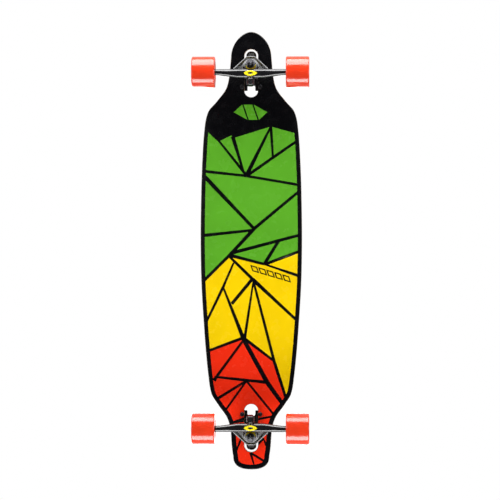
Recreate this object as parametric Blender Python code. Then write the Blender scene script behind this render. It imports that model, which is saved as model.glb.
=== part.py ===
"""Drop-through longboard skateboard: deck, two reverse-kingpin trucks and four wheels.

Frame: metres, +Z up, the board standing on its wheels. X is its width, Y its length with the
nose at +Y, and the origin is on the ground under the middle of the deck.
"""

import math

import bmesh
import bpy
from mathutils import Matrix, Vector

# ---------------------------------------------------------------- driving dimensions (metres)
GAP = 0.0003                    # between pieces that touch

# Deck
DECK_LENGTH = 0.990
DECK_THICKNESS = 0.011
CONCAVE_RISE = 0.006            # how far the widest edge stands above the middle
CONCAVE_FLAT = 0.055            # half-width of the flat strip along the middle
GRIP_THICKNESS = 0.001
GRIP_MARGIN = 0.0015            # bare wood left round the grip tape
NOSE_ARC_LENGTH = 0.055
NOSE_ARC_HALF_WIDTH = 0.0455
NOSE_ARC_POWER = 1.8
TAIL_ARC_LENGTH = 0.030
TAIL_ARC_HALF_WIDTH = 0.0408
TAIL_ARC_POWER = 2.5
# (distance from the nose, half-width), after the nose's own arc
NOSE_SIDE = ((0.100, 0.0497), (0.125, 0.0553), (0.158, 0.0785), (0.180, 0.0974),
             (0.205, 0.1044), (0.267, 0.1099), (0.365, 0.1137), (0.465, 0.1150))
# (distance from the tail, half-width), before the tail's own arc
TAIL_SIDE = ((0.451, 0.1141), (0.315, 0.1067), (0.199, 0.0958), (0.172, 0.0907),
             (0.145, 0.0742), (0.115, 0.0537), (0.090, 0.0467), (0.060, 0.0446),
             (0.043, 0.0430))
STATION_STEP = 0.045            # longest stretch of outline between two stations
CUTOUT_OUTBOARD = 0.0578        # cut-out's end beyond the axle line
CUTOUT_INBOARD = 0.0510         # cut-out's end inside the axle line
CUTOUT_WIDTH = 0.031

# Where the trucks sit
AXLE_SETBACK = 0.0971           # axle line from the end of the deck
TRUCK_HEIGHT = 0.062            # axle line up to the face of the flange
BOLT_SPACING_X = 0.0413
BOLT_SPACING_Y = 0.0538
BOLT_OUTBOARD = 0.0258          # outer pair of bolts beyond the axle line

# Baseplate
FLANGE_THICKNESS = 0.006
FLANGE_HALF_WIDTH = 0.028
FLANGE_EDGE = 0.008             # metal beyond a bolt's centre
NOSE_OUTBOARD = 0.0544
NOSE_HALF_WIDTH = 0.0115
NOTCH_HALF_WIDTH = 0.0087
NOTCH_END = -0.024
PEDESTAL_HALF_WIDTH = 0.0085
SEAT_BOSS_RADIUS = 0.0135
CUP_HOUSING_RADIUS = 0.0088
NOTCH_CORNER = 0.004            # rounding at the notch's closed end
NOSE_RIB_HALF_WIDTH = 0.0070    # rib under the nose
NOSE_RIB_SHORT = 0.004          # the rib ends this far inside the nose's edge
NOSE_CORNER = 0.0105             # rounding of the nose's outboard corners
SMALL_CORNER = 0.002
# The body's inboard side, (y, z) from the mouth of the pivot cup
BODY_STEPS = ((-0.002, 0.006), (0.001, 0.011), (0.005, 0.023))
BOSS_SHORT = 0.005              # the seat's boss ends this far below the flange's inside

# Steering geometry, from the axle line: y outboard, z up
PIVOT = Vector((0.0, -0.020, -0.005))
RING_CENTRE = Vector((0.0, 0.01415, 0.017))
KINGPIN_TILT = math.radians(20.0)
PIVOT_TILT = math.radians(12.0)

# Kingpin stack
KINGPIN_RADIUS = 0.00475
KINGPIN_HEAD_RADIUS = 0.0080
KINGPIN_HEAD_HEIGHT = 0.006
KINGPIN_GRIP = 0.024            # from the bushing seat up to the head
KINGPIN_TAIL = 0.002            # thread beyond the nut
HEAD_OVERLAP = 0.003            # shank inside the head
KINGPIN_NUT_RADIUS = 0.0082
KINGPIN_NUT_HEIGHT = 0.008
WASHER_THICKNESS = 0.002
BOARD_WASHER_RADIUS = 0.0125
ROAD_WASHER_RADIUS = 0.0110
WASHER_LIP = 0.0012
BUSHING_RADIUS = 0.0112
BOARD_BUSHING_HEIGHT = 0.015
ROAD_BUSHING_HEIGHT = 0.013
ROAD_BUSHING_TIP_RADIUS = 0.0095

# Pivot cup
CUP_RADIUS = 0.0068
CUP_MOUTH = 0.0045              # mouth's distance from the pivot's centre
CUP_DEPTH = 0.0065              # closed end's distance from the pivot's centre
CUP_HOUSING_WALL = 0.0048
PIVOT_BALL_RADIUS = 0.0048
PIVOT_SWING_ROOM = 0.0007       # extra at the cup's mouth, for the tip's small tilt
PIVOT_NECK_RADIUS = 0.0065      # the tip's root, outside the cup
PIVOT_NECK_START = 0.006        # from the cup's mouth
PIVOT_NECK_END = 0.016          # from the pivot's centre, inside the beam

# Hanger
RING_RADIUS = 0.0160
RING_THICKNESS = 0.010
RING_RECESS = 0.0025
RING_HOLE_RADIUS = 0.0080
YOKE_THICKNESS = 0.0075
YOKE_TIP = 0.0250               # yoke's tip from the ring's centre
YOKE_TIP_HALF_WIDTH = 0.0092
YOKE_FOOT_HALF_WIDTH = 0.0400
YOKE_FOOT_RISE = 0.012          # where the yoke is widest, above its foot
YOKE_FOOT_CHAMFER = 0.004
YOKE_TIP_CORNER = 0.004
YOKE_FOOT_CORNER = 0.003
# Rib along the yoke's foot, (y, z) from the axle line
RIB_SIDE = ((-0.0085, 0.0), (0.0030, 0.0), (0.0022, 0.0075), (0.0035, 0.0110),
            (0.0010, 0.0140), (-0.0055, 0.0115))
RIB_SHORT = 0.006               # the rib ends this far inside the yoke's foot
RECESS_ROOM = 0.0006            # round a bushing in its recess
BEAM_HALF_DEPTH = 0.0100
BEAM_HALF_HEIGHT = 0.0090
BEAM_OFFSET = 0.0028            # beam's middle lies this far inboard of the axle
BEAM_END_RADIUS = 0.0070
BEAM_STRAIGHT = 0.025           # half-length of the beam's full section
BEAM_MID_SHARE = 0.45           # share of the full section left halfway to the wheel

# Axle and wheels
TRACK = 0.210                   # between the middles of the two wheels
AXLE_RADIUS = 0.0040
AXLE_TAIL = 0.002               # axle beyond its nut
AXLE_NUT_RADIUS = 0.0073
AXLE_NUT_HEIGHT = 0.007
SPEED_RING = 0.0012             # room for a speed ring beside each bearing
WHEEL_RADIUS = 0.035
WHEEL_WIDTH = 0.052
WHEEL_LIP_RADIUS = 0.0032
WHEEL_RECESS_RADIUS = 0.0235    # at the wheel's face
CORE_RADIUS = 0.0170
CORE_HALF_WIDTH = 0.0150
BEARING_RADIUS = 0.0110
BEARING_WIDTH = 0.007
BEARING_SPACING = 0.0110        # between the two bearings of a wheel
CORE_BORE_RADIUS = 0.0090       # between the two bearings

# Mounting hardware
BOLT_RADIUS = 0.0024
BOLT_HEAD_RADIUS = 0.0045
BOLT_HEAD_HEIGHT = 0.0028
BOLT_HEAD_RIM = 0.0016          # height of the head's straight rim
BOLT_HEAD_CHAMFER = 0.0012
BOLT_TAIL = 0.0015
BOLT_HOLE_RADIUS = 0.00275
BOLT_NUT_RADIUS = 0.0053
BOLT_NUT_HEIGHT = 0.0055

CUT_PAST = 0.004                # cutters run on this far past a face

ROUND = 16                      # sides of a small round piece
RING_ROUND = 24
TYRE_ROUND = 28
BOLT_ROUND = 12
HEX = 6

# ---------------------------------------------------------------- worked-out sizes
AXLE_Y = DECK_LENGTH / 2 - AXLE_SETBACK
FLANGE_FACE = TRUCK_HEIGHT                       # all heights below are from the axle line
FLANGE_TOP = FLANGE_FACE + FLANGE_THICKNESS
GRIP_TOP = FLANGE_FACE - GAP
DECK_TOP = GRIP_TOP - GRIP_THICKNESS - GAP
DECK_BOTTOM = DECK_TOP - DECK_THICKNESS
BOLT_INBOARD = BOLT_OUTBOARD - BOLT_SPACING_Y
KINGPIN_DOWN = Vector((0.0, math.sin(KINGPIN_TILT), -math.cos(KINGPIN_TILT)))
PIVOT_OUT = Vector((0.0, math.cos(PIVOT_TILT), math.sin(PIVOT_TILT)))
RING_WEB = RING_THICKNESS / 2 - RING_RECESS      # half the metal between the recesses
BOARD_BUSHING_START = RING_WEB + GAP
BOARD_WASHER_START = BOARD_BUSHING_START + BOARD_BUSHING_HEIGHT + GAP
SEAT = BOARD_WASHER_START + WASHER_THICKNESS + GAP
ROAD_BUSHING_START = RING_WEB + GAP
ROAD_WASHER_START = ROAD_BUSHING_START + ROAD_BUSHING_HEIGHT + GAP
KINGPIN_NUT_START = ROAD_WASHER_START + WASHER_THICKNESS + GAP
KINGPIN_END = KINGPIN_NUT_START + KINGPIN_NUT_HEIGHT + KINGPIN_TAIL
BEARING_INNER = BEARING_SPACING / 2
BEARING_OUTER = BEARING_INNER + BEARING_WIDTH
BEAM_END = TRACK / 2 - BEARING_OUTER - SPEED_RING
AXLE_NUT_START = TRACK / 2 + BEARING_OUTER + SPEED_RING
AXLE_END = AXLE_NUT_START + AXLE_NUT_HEIGHT + AXLE_TAIL


# ---------------------------------------------------------------- building blocks
def clear_scene():
    for old in list(bpy.data.objects):
        bpy.data.objects.remove(old, do_unlink=True)


def material(name, color, roughness, metallic=0.0):
    """A plain Principled material."""
    finish = bpy.data.materials.new(name)
    finish.use_nodes = True
    shader = finish.node_tree.nodes["Principled BSDF"]
    shader.inputs["Base Color"].default_value = (*color, 1.0)
    shader.inputs["Roughness"].default_value = roughness
    shader.inputs["Metallic"].default_value = metallic
    return finish


def empty(name, location, parent=None, turn=0.0):
    holder = bpy.data.objects.new(name, None)
    bpy.context.collection.objects.link(holder)
    holder.parent = parent
    holder.location = location
    holder.rotation_euler = (0.0, 0.0, turn)
    return holder


def solid(name, mesh, finish=None, parent=None, location=(0.0, 0.0, 0.0)):
    """Link a mesh as a named object, shaded smooth except at its sharp edges."""
    thing = bpy.data.objects.new(name, mesh)
    bpy.context.collection.objects.link(thing)
    thing.parent = parent
    thing.location = location
    if finish is not None:
        mesh.materials.append(finish)
    mesh.shade_smooth()
    mesh.set_sharp_from_angle(angle=math.radians(35.0))
    return thing


def helper(name, mesh, parent=None, location=(0.0, 0.0, 0.0)):
    """A cutter or a shape to be joined: it shapes other pieces and is no piece itself."""
    thing = solid(name, mesh, parent=parent, location=location)
    thing.hide_render = True
    thing.display_type = 'WIRE'
    return thing


def combine(target, tool, operation):
    """Add a Boolean modifier: 'DIFFERENCE' cuts the tool away, 'UNION' joins it on."""
    step = target.modifiers.new(f"{operation.title()}_{tool.name}", 'BOOLEAN')
    step.operation = operation
    step.solver = 'EXACT'
    step.object = tool


def finish_mesh(bm, name, place=None):
    """Turn a bmesh into a mesh with its faces pointing out, moved by the matrix place."""
    if place is not None:
        bm.transform(place)
    bmesh.ops.recalc_face_normals(bm, faces=bm.faces)
    mesh = bpy.data.meshes.new(name)
    bm.to_mesh(mesh)
    bm.free()
    return mesh


def rounded_outline(corners, segments=4):
    """Closed outline from (x, y, radius) corners, each rounded to its radius."""
    outline = []
    count = len(corners)
    for index, (x, y, radius) in enumerate(corners):
        here = Vector((x, y))
        back = Vector(corners[index - 1][:2]) - here
        ahead = Vector(corners[(index + 1) % count][:2]) - here
        if radius == 0.0:
            outline.append((x, y))
            continue
        half_angle = back.angle(ahead) / 2
        reach = radius / math.tan(half_angle)
        start = here + back.normalized() * reach
        end = here + ahead.normalized() * reach
        centre = here + (back.normalized() + ahead.normalized()).normalized() \
            * (radius / math.sin(half_angle))
        first = start - centre
        sweep = first.angle_signed(end - centre)
        for step in range(segments + 1):
            turn = Matrix.Rotation(-sweep * step / segments, 2)
            outline.append(tuple(centre + turn @ first))
    return outline


def prism(name, outline, low, high, place=None):
    """Extrude a closed outline from low to high along Z."""
    bm = bmesh.new()
    face = bm.faces.new([bm.verts.new((x, y, low)) for x, y in outline])
    top = bmesh.ops.extrude_face_region(bm, geom=[face])
    lifted = [item for item in top["geom"] if isinstance(item, bmesh.types.BMVert)]
    bmesh.ops.translate(bm, verts=lifted, vec=(0.0, 0.0, high - low))
    return finish_mesh(bm, name, place)


def lathe(name, profile, segments, place=None, ring=False):
    """Turn (radius, along) points about Z; ring=True closes the profile round a bore."""
    bm = bmesh.new()
    loops = []
    for radius, along in profile:
        if radius == 0.0:
            loops.append([bm.verts.new((0.0, 0.0, along))])
            continue
        loops.append([bm.verts.new((radius * math.cos(2 * math.pi * i / segments),
                                    radius * math.sin(2 * math.pi * i / segments), along))
                      for i in range(segments)])
    pairs = list(zip(loops, loops[1:]))
    if ring:
        pairs.append((loops[-1], loops[0]))
    for lower, upper in pairs:
        for i in range(segments):
            j = (i + 1) % segments
            corners = [lower[i % len(lower)], lower[j % len(lower)],
                       upper[j % len(upper)], upper[i % len(upper)]]
            bm.faces.new(list(dict.fromkeys(corners)))
    if not ring:
        for loop in (loops[0], loops[-1]):
            if len(loop) > 1:
                bm.faces.new(loop)
    return finish_mesh(bm, name, place)


def rod(name, radius, start, end, segments=ROUND, place=None):
    return lathe(name, ((radius, start), (radius, end)), segments, place)


def frame_along(origin, direction):
    """Matrix that takes Z to direction and the origin to a point, with X kept level."""
    z_axis = direction.normalized()
    x_axis = Vector((1.0, 0.0, 0.0))
    y_axis = z_axis.cross(x_axis).normalized()
    x_axis = y_axis.cross(z_axis)
    turn = Matrix((x_axis, y_axis, z_axis)).transposed().to_4x4()
    return Matrix.Translation(origin) @ turn


ALONG_AXLE = Matrix.Rotation(math.pi / 2, 4, 'Y')
SIDE_ON = Matrix(((0, 0, 1, 0), (1, 0, 0, 0), (0, 1, 0, 0), (0, 0, 0, 1)))  # (y, z) along X
DOWN_KINGPIN = frame_along(RING_CENTRE, KINGPIN_DOWN)
OUT_OF_PIVOT = frame_along(PIVOT, PIVOT_OUT)


# ---------------------------------------------------------------- deck and grip tape
def smooth_curve(knots, at):
    """Monotone cubic curve through (position, value) knots, positions rising."""
    slopes = [(b[1] - a[1]) / (b[0] - a[0]) for a, b in zip(knots, knots[1:])]
    tangents = [slopes[0]]
    for before, after in zip(slopes, slopes[1:]):
        level = before * after <= 0.0
        tangents.append(0.0 if level else 2 * before * after / (before + after))
    tangents.append(slopes[-1])
    index = max(i for i, knot in enumerate(knots[:-1]) if knot[0] <= at or i == 0)
    (x0, y0), (x1, y1) = knots[index], knots[index + 1]
    span = x1 - x0
    t = (at - x0) / span
    return ((1 + 2 * t) * (1 - t) ** 2 * y0 + t * (1 - t) ** 2 * span * tangents[index]
            + t * t * (3 - 2 * t) * y1 + t * t * (t - 1) * span * tangents[index + 1])


def end_arc(length, half_width, power, steps):
    """(distance from the end, half-width) along a rounded end, tip first."""
    points = []
    for step in range(1, steps + 1):
        angle = math.pi / 2 * step / steps
        points.append((length * (1 - math.cos(angle) ** (2 / power)),
                       half_width * math.sin(angle) ** (2 / power)))
    tip = (0.0, points[0][1] / 2)
    return [tip, *points]


def deck_stations():
    """(y, half-width) stations from the tail's tip to the nose's."""
    half = DECK_LENGTH / 2
    nose = end_arc(NOSE_ARC_LENGTH, NOSE_ARC_HALF_WIDTH, NOSE_ARC_POWER, 7)
    tail = end_arc(TAIL_ARC_LENGTH, TAIL_ARC_HALF_WIDTH, TAIL_ARC_POWER, 7)
    knots = [(-half + s, w) for s, w in (tail[-1], *reversed(TAIL_SIDE))]
    knots += [(half - s, w) for s, w in (*reversed(NOSE_SIDE), nose[-1])]
    side = []
    for first, last in zip(knots, knots[1:]):
        steps = max(2, math.ceil((last[0] - first[0]) / STATION_STEP))
        side += [first[0] + (last[0] - first[0]) * i / steps for i in range(steps)]
    stations = [(-half + s, w) for s, w in tail[:-1]]
    stations += [(y, smooth_curve(knots, y)) for y in side]
    stations += [(half - s, w) for s, w in reversed(nose)]
    return stations


def concave(x):
    """How far the board curls up at a distance x from its middle line."""
    widest = max(w for _, w in NOSE_SIDE)
    t = min(1.0, max(0.0, (abs(x) - CONCAVE_FLAT) / (widest - CONCAVE_FLAT)))
    return CONCAVE_RISE * t * t


def board_layer(name, low, high, inset):
    """A layer that follows the deck's outline, inset, and its concave."""
    bm = bmesh.new()
    half = DECK_LENGTH / 2
    rows = []
    for y, width in deck_stations():
        reach = width - inset
        flat = min(CONCAVE_FLAT, 0.6 * reach)
        middle = (flat + reach) / 2
        across = (-reach, -middle, -flat, flat, middle, reach)
        along = y * (1 - inset / half)
        rows.append([[bm.verts.new((x, along, height + concave(x))) for x in across]
                     for height in (low, high)])
    columns = len(across) - 1
    for (low_a, high_a), (low_b, high_b) in zip(rows, rows[1:]):
        for i in range(columns):
            bm.faces.new((low_a[i], low_b[i], low_b[i + 1], low_a[i + 1]))
            bm.faces.new((high_a[i], high_a[i + 1], high_b[i + 1], high_b[i]))
        for i in (0, columns):
            bm.faces.new((low_a[i], low_b[i], high_b[i], high_a[i]))
    for low_row, high_row in (rows[0], rows[-1]):
        for i in range(columns):
            bm.faces.new((low_row[i], low_row[i + 1], high_row[i + 1], high_row[i]))
    return finish_mesh(bm, name)


def bolt_places():
    """(x, y) of a truck's four mounting bolts, y outboard of its axle line."""
    return [(side * BOLT_SPACING_X / 2, y) for y in (BOLT_INBOARD, BOLT_OUTBOARD)
            for side in (-1, 1)]


def make_board(trucks, wood, grit):
    """Deck and grip tape, with the cut-outs and bolt holes for both trucks."""
    ground = empty("board", (0.0, 0.0, WHEEL_RADIUS))
    deck = solid("deck", board_layer("deck", DECK_BOTTOM, DECK_TOP, 0.0), wood, ground)
    tape = solid("grip_tape", board_layer("grip_tape", DECK_TOP + GAP, GRIP_TOP, GRIP_MARGIN),
                 grit, ground)
    cut_low = DECK_BOTTOM - DECK_THICKNESS
    cut_high = GRIP_TOP + DECK_THICKNESS
    half = CUTOUT_WIDTH / 2
    bend = half * 0.999             # a full bend would put two points in one place
    slot = rounded_outline(((half, -CUTOUT_INBOARD, bend), (half, CUTOUT_OUTBOARD, bend),
                            (-half, CUTOUT_OUTBOARD, bend), (-half, -CUTOUT_INBOARD, bend)), 8)
    for end, truck in trucks.items():
        cutters = [helper(f"{end}_cutout", prism("cutout", slot, cut_low, cut_high), truck)]
        for number, (x, y) in enumerate(bolt_places(), 1):
            hole = rod("bolt_hole", BOLT_HOLE_RADIUS, cut_low, cut_high, BOLT_ROUND)
            cutters.append(helper(f"{end}_deck_hole_{number}", hole, truck, (x, y, 0.0)))
        for cutter in cutters:
            combine(deck, cutter, 'DIFFERENCE')
            combine(tape, cutter, 'DIFFERENCE')


# ---------------------------------------------------------------- truck pieces
def make_baseplate(end, truck, finish):
    """Flange on the deck, body through the cut-out, bushing seat and cup housing."""
    edge = FLANGE_EDGE
    low_y = BOLT_INBOARD - edge
    high_y = BOLT_OUTBOARD + edge
    right = ((NOTCH_HALF_WIDTH, NOTCH_END, NOTCH_CORNER),
             (NOTCH_HALF_WIDTH, low_y, SMALL_CORNER), (FLANGE_HALF_WIDTH, low_y, edge),
             (FLANGE_HALF_WIDTH, high_y, edge), (NOSE_HALF_WIDTH, high_y, SMALL_CORNER),
             (NOSE_HALF_WIDTH, NOSE_OUTBOARD, NOSE_CORNER))
    left = tuple((-x, y, r) for x, y, r in reversed(right))
    plate = solid(f"{end}_baseplate",
                  prism("baseplate", rounded_outline(right + left), FLANGE_FACE, FLANGE_TOP),
                  finish, truck)
    sink = FLANGE_TOP - FLANGE_THICKNESS / 3     # the body ends inside the flange
    housing_end = -(CUP_DEPTH + CUP_HOUSING_WALL)
    seat = RING_CENTRE - KINGPIN_DOWN * SEAT
    back = (PIVOT + PIVOT_OUT * housing_end).y
    knee_y = PIVOT.y + CUP_MOUTH
    body_side = ((NOTCH_END - 0.0006, sink), (back + 0.0004, PIVOT.z + 0.003),
                 *((knee_y + y, PIVOT.z + z) for y, z in BODY_STEPS),
                 (seat.y - 0.013, seat.z), (seat.y, seat.z + 0.004), (seat.y, sink))
    web = prism("web", body_side, -PEDESTAL_HALF_WIDTH, PEDESTAL_HALF_WIDTH, SIDE_ON)
    rib_end = NOSE_OUTBOARD - NOSE_RIB_SHORT
    nose_side = ((seat.y - 0.002, sink), (seat.y - 0.002, seat.z + 0.007),
                 (seat.y + 0.012, seat.z + 0.0055), (rib_end - 0.0077, DECK_BOTTOM + 0.003),
                 (rib_end, FLANGE_FACE + 0.001), (rib_end, sink))
    nose = prism("nose", nose_side, -NOSE_RIB_HALF_WIDTH, NOSE_RIB_HALF_WIDTH, SIDE_ON)
    boss_top = (sink - seat.z) / math.cos(KINGPIN_TILT) - BOSS_SHORT
    boss = rod("boss", SEAT_BOSS_RADIUS, -SEAT - boss_top, -SEAT, ROUND, DOWN_KINGPIN)
    housing = rod("housing", CUP_HOUSING_RADIUS, housing_end, CUP_MOUTH, ROUND, OUT_OF_PIVOT)
    for part_name, mesh in (("web", web), ("nose", nose), ("boss", boss), ("housing", housing)):
        combine(plate, helper(f"{end}_{part_name}", mesh, truck), 'UNION')
    bore_radius = KINGPIN_RADIUS + GAP
    head_start = -(SEAT + KINGPIN_GRIP - GAP)
    cuts = {"kingpin_bore": rod("bore", bore_radius, -0.060, 0.010, ROUND, DOWN_KINGPIN),
            "head_pocket": rod("pocket", KINGPIN_HEAD_RADIUS + GAP, -0.070, head_start,
                               ROUND, DOWN_KINGPIN),
            "cup_bore": rod("cup_bore", CUP_RADIUS + GAP, -(CUP_DEPTH + GAP), 0.020,
                            ROUND, OUT_OF_PIVOT)}
    for cut_name, mesh in cuts.items():
        combine(plate, helper(f"{end}_{cut_name}", mesh, truck), 'DIFFERENCE')
    for number, (x, y) in enumerate(bolt_places(), 1):
        hole = rod("flange_hole", BOLT_HOLE_RADIUS, FLANGE_FACE - CUT_PAST,
                   FLANGE_TOP + CUT_PAST, BOLT_ROUND)
        combine(plate, helper(f"{end}_flange_hole_{number}", hole, truck, (x, y, 0.0)),
                'DIFFERENCE')


def make_pivot_cup(end, truck, finish):
    """Urethane socket for the tip of the hanger."""
    hollow = PIVOT_BALL_RADIUS + GAP
    curve = [(hollow * math.sin(a), -hollow * math.cos(a))
             for a in (math.pi / 2 * i / 4 for i in range(1, 5))]
    profile = [(0.0, -CUP_DEPTH), (CUP_RADIUS, -CUP_DEPTH), (CUP_RADIUS, CUP_MOUTH),
               (hollow + PIVOT_SWING_ROOM, CUP_MOUTH), *reversed(curve), (0.0, -hollow)]
    solid(f"{end}_pivot_cup", lathe("pivot_cup", profile, ROUND, OUT_OF_PIVOT), finish, truck)


def make_kingpin_stack(end, truck, steel, soft, dark):
    """Kingpin, its nut, the two cup washers and the two bushings."""
    head_low = -(SEAT + KINGPIN_GRIP)
    head_top = head_low - KINGPIN_HEAD_HEIGHT
    pin = solid(f"{end}_kingpin", rod("kingpin", KINGPIN_HEAD_RADIUS, head_top, head_low,
                                      HEX, DOWN_KINGPIN), steel, truck)
    shank = rod("shank", KINGPIN_RADIUS, head_low - HEAD_OVERLAP, KINGPIN_END, ROUND,
                DOWN_KINGPIN)
    combine(pin, helper(f"{end}_shank", shank, truck), 'UNION')
    hole = KINGPIN_RADIUS + GAP
    nut_end = KINGPIN_NUT_START + KINGPIN_NUT_HEIGHT
    nut = lathe("nut", ((KINGPIN_NUT_RADIUS, KINGPIN_NUT_START), (KINGPIN_NUT_RADIUS, nut_end)),
                HEX, DOWN_KINGPIN)
    nut = solid(f"{end}_kingpin_nut", nut, dark, truck)
    bore = rod("nut_bore", hole, KINGPIN_NUT_START - CUT_PAST, nut_end + CUT_PAST, ROUND,
               DOWN_KINGPIN)
    combine(nut, helper(f"{end}_nut_bore", bore, truck), 'DIFFERENCE')
    for side, start, radius, sense in (("board", BOARD_WASHER_START, BOARD_WASHER_RADIUS, -1),
                                       ("road", ROAD_WASHER_START, ROAD_WASHER_RADIUS, 1)):
        far = start + WASHER_THICKNESS
        lip = start - WASHER_LIP
        wall = radius - WASHER_LIP
        ring = [(hole, start), (wall, start), (wall, lip), (radius, lip), (radius, far),
                (hole, far)]
        profile = [(r, sense * along) for r, along in ring]
        solid(f"{end}_{side}_washer", lathe("washer", profile, ROUND, DOWN_KINGPIN, True),
              dark, truck)
    bushing_wall = ROAD_WASHER_RADIUS - WASHER_LIP - GAP
    board_far = BOARD_BUSHING_START + BOARD_BUSHING_HEIGHT
    road_far = ROAD_BUSHING_START + ROAD_BUSHING_HEIGHT
    barrel = ((hole, -BOARD_BUSHING_START), (BUSHING_RADIUS, -BOARD_BUSHING_START),
              (BUSHING_RADIUS, -board_far + 0.001), (BUSHING_RADIUS - 0.0008, -board_far),
              (hole, -board_far))
    tip = min(ROAD_BUSHING_TIP_RADIUS, bushing_wall)
    cone = ((hole, ROAD_BUSHING_START), (BUSHING_RADIUS, ROAD_BUSHING_START),
            (BUSHING_RADIUS, ROAD_BUSHING_START + RING_RECESS + 0.001), (tip, road_far),
            (hole, road_far))
    for side, profile in (("board", barrel), ("road", cone)):
        solid(f"{end}_{side}_bushing", lathe("bushing", profile, ROUND, DOWN_KINGPIN, True),
              soft, truck)


def beam_mesh():
    """Axle beam along X: full section in the middle, round and slimmer at the ends."""
    wheel_face = TRACK / 2 - WHEEL_WIDTH / 2
    mid = (wheel_face + BEAM_STRAIGHT) / 2
    half = [(0.0, 1.0), (BEAM_STRAIGHT, 1.0), (mid, BEAM_MID_SHARE), (wheel_face, 0.0),
            (BEAM_END, 0.0)]
    places = [(-x, share) for x, share in reversed(half[1:])] + half
    bm = bmesh.new()
    loops = []
    for x, share in places:
        depth = BEAM_END_RADIUS + (BEAM_HALF_DEPTH - BEAM_END_RADIUS) * share
        height = BEAM_END_RADIUS + (BEAM_HALF_HEIGHT - BEAM_END_RADIUS) * share
        middle = -BEAM_OFFSET * share
        loops.append([bm.verts.new((x, middle + depth * math.cos(a), height * math.sin(a)))
                      for a in (2 * math.pi * i / ROUND for i in range(ROUND))])
    for one, other in zip(loops, loops[1:]):
        for i in range(ROUND):
            j = (i + 1) % ROUND
            bm.faces.new((one[i], one[j], other[j], other[i]))
    bm.faces.new(loops[0])
    bm.faces.new(loops[-1])
    return finish_mesh(bm, "beam")


def make_hanger(end, sides, truck, finish, steel, dark):
    """Hanger with its axle and axle nuts, on an empty that stands on the steering axis."""
    steer = empty(f"{end}_steer", RING_CENTRE, truck)
    back = -RING_CENTRE
    hanger = solid(f"{end}_hanger", beam_mesh(), finish, steer, back)
    foot = -(RING_CENTRE.y + BEAM_OFFSET) / math.cos(KINGPIN_TILT)
    right = ((YOKE_TIP_HALF_WIDTH, YOKE_TIP, YOKE_TIP_CORNER),
             (YOKE_FOOT_HALF_WIDTH, foot + YOKE_FOOT_RISE, YOKE_FOOT_CORNER),
             (YOKE_FOOT_HALF_WIDTH - YOKE_FOOT_CHAMFER, foot, YOKE_FOOT_CORNER))
    left = tuple((-x, y, r) for x, y, r in reversed(right))
    yoke_outline = rounded_outline(right + left, 3)
    flip = Matrix.Diagonal((1.0, -1.0, 1.0, 1.0))
    yoke = prism("yoke", yoke_outline, -YOKE_THICKNESS / 2, YOKE_THICKNESS / 2,
                 DOWN_KINGPIN @ flip)
    ring = rod("ring", RING_RADIUS, -RING_THICKNESS / 2, RING_THICKNESS / 2, RING_ROUND,
               DOWN_KINGPIN)
    rib_reach = YOKE_FOOT_HALF_WIDTH - RIB_SHORT
    rib = prism("rib", RIB_SIDE, -rib_reach, rib_reach, SIDE_ON)
    tip_curve = [(PIVOT_BALL_RADIUS * math.sin(a), -PIVOT_BALL_RADIUS * math.cos(a))
                 for a in (math.pi / 2 * i / 4 for i in range(1, 5))]
    tip = [(0.0, -PIVOT_BALL_RADIUS), *tip_curve, (PIVOT_BALL_RADIUS, CUP_MOUTH + 0.001),
           (PIVOT_NECK_RADIUS, CUP_MOUTH + PIVOT_NECK_START), (PIVOT_NECK_RADIUS, PIVOT_NECK_END)]
    joined = {"yoke": yoke, "ring": ring, "rib": rib,
              "pivot_tip": lathe("tip", tip, ROUND, OUT_OF_PIVOT)}
    for part_name, mesh in joined.items():
        combine(hanger, helper(f"{end}_{part_name}", mesh, steer, back), 'UNION')
    recess = BUSHING_RADIUS + RECESS_ROOM
    cuts = {"ring_hole": rod("hole", RING_HOLE_RADIUS, -0.008, 0.0065, ROUND, DOWN_KINGPIN),
            "board_recess": rod("recess", recess, -0.020, -RING_WEB, ROUND, DOWN_KINGPIN),
            "road_recess": rod("recess", recess, RING_WEB, 0.016, ROUND, DOWN_KINGPIN),
            "axle_bore": rod("bore", AXLE_RADIUS + GAP, -BEAM_END - CUT_PAST,
                             BEAM_END + CUT_PAST, ROUND, ALONG_AXLE)}
    for cut_name, mesh in cuts.items():
        combine(hanger, helper(f"{end}_{cut_name}", mesh, steer, back), 'DIFFERENCE')
    axle = rod("axle", AXLE_RADIUS, -AXLE_END, AXLE_END, ROUND, ALONG_AXLE)
    solid(f"{end}_axle", axle, steel, steer, back)
    for side, sense in sides:
        limits = sorted((sense * AXLE_NUT_START, sense * (AXLE_NUT_START + AXLE_NUT_HEIGHT)))
        nut = solid(f"{end}_{side}_axle_nut", rod("axle_nut", AXLE_NUT_RADIUS, *limits, HEX,
                                                  ALONG_AXLE), dark, steer, back)
        bore = rod("bore", AXLE_RADIUS + GAP, limits[0] - CUT_PAST, limits[1] + CUT_PAST,
                   ROUND, ALONG_AXLE)
        combine(nut, helper(f"{end}_{side}_nut_bore", bore, steer, back), 'DIFFERENCE')
    return steer


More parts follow.
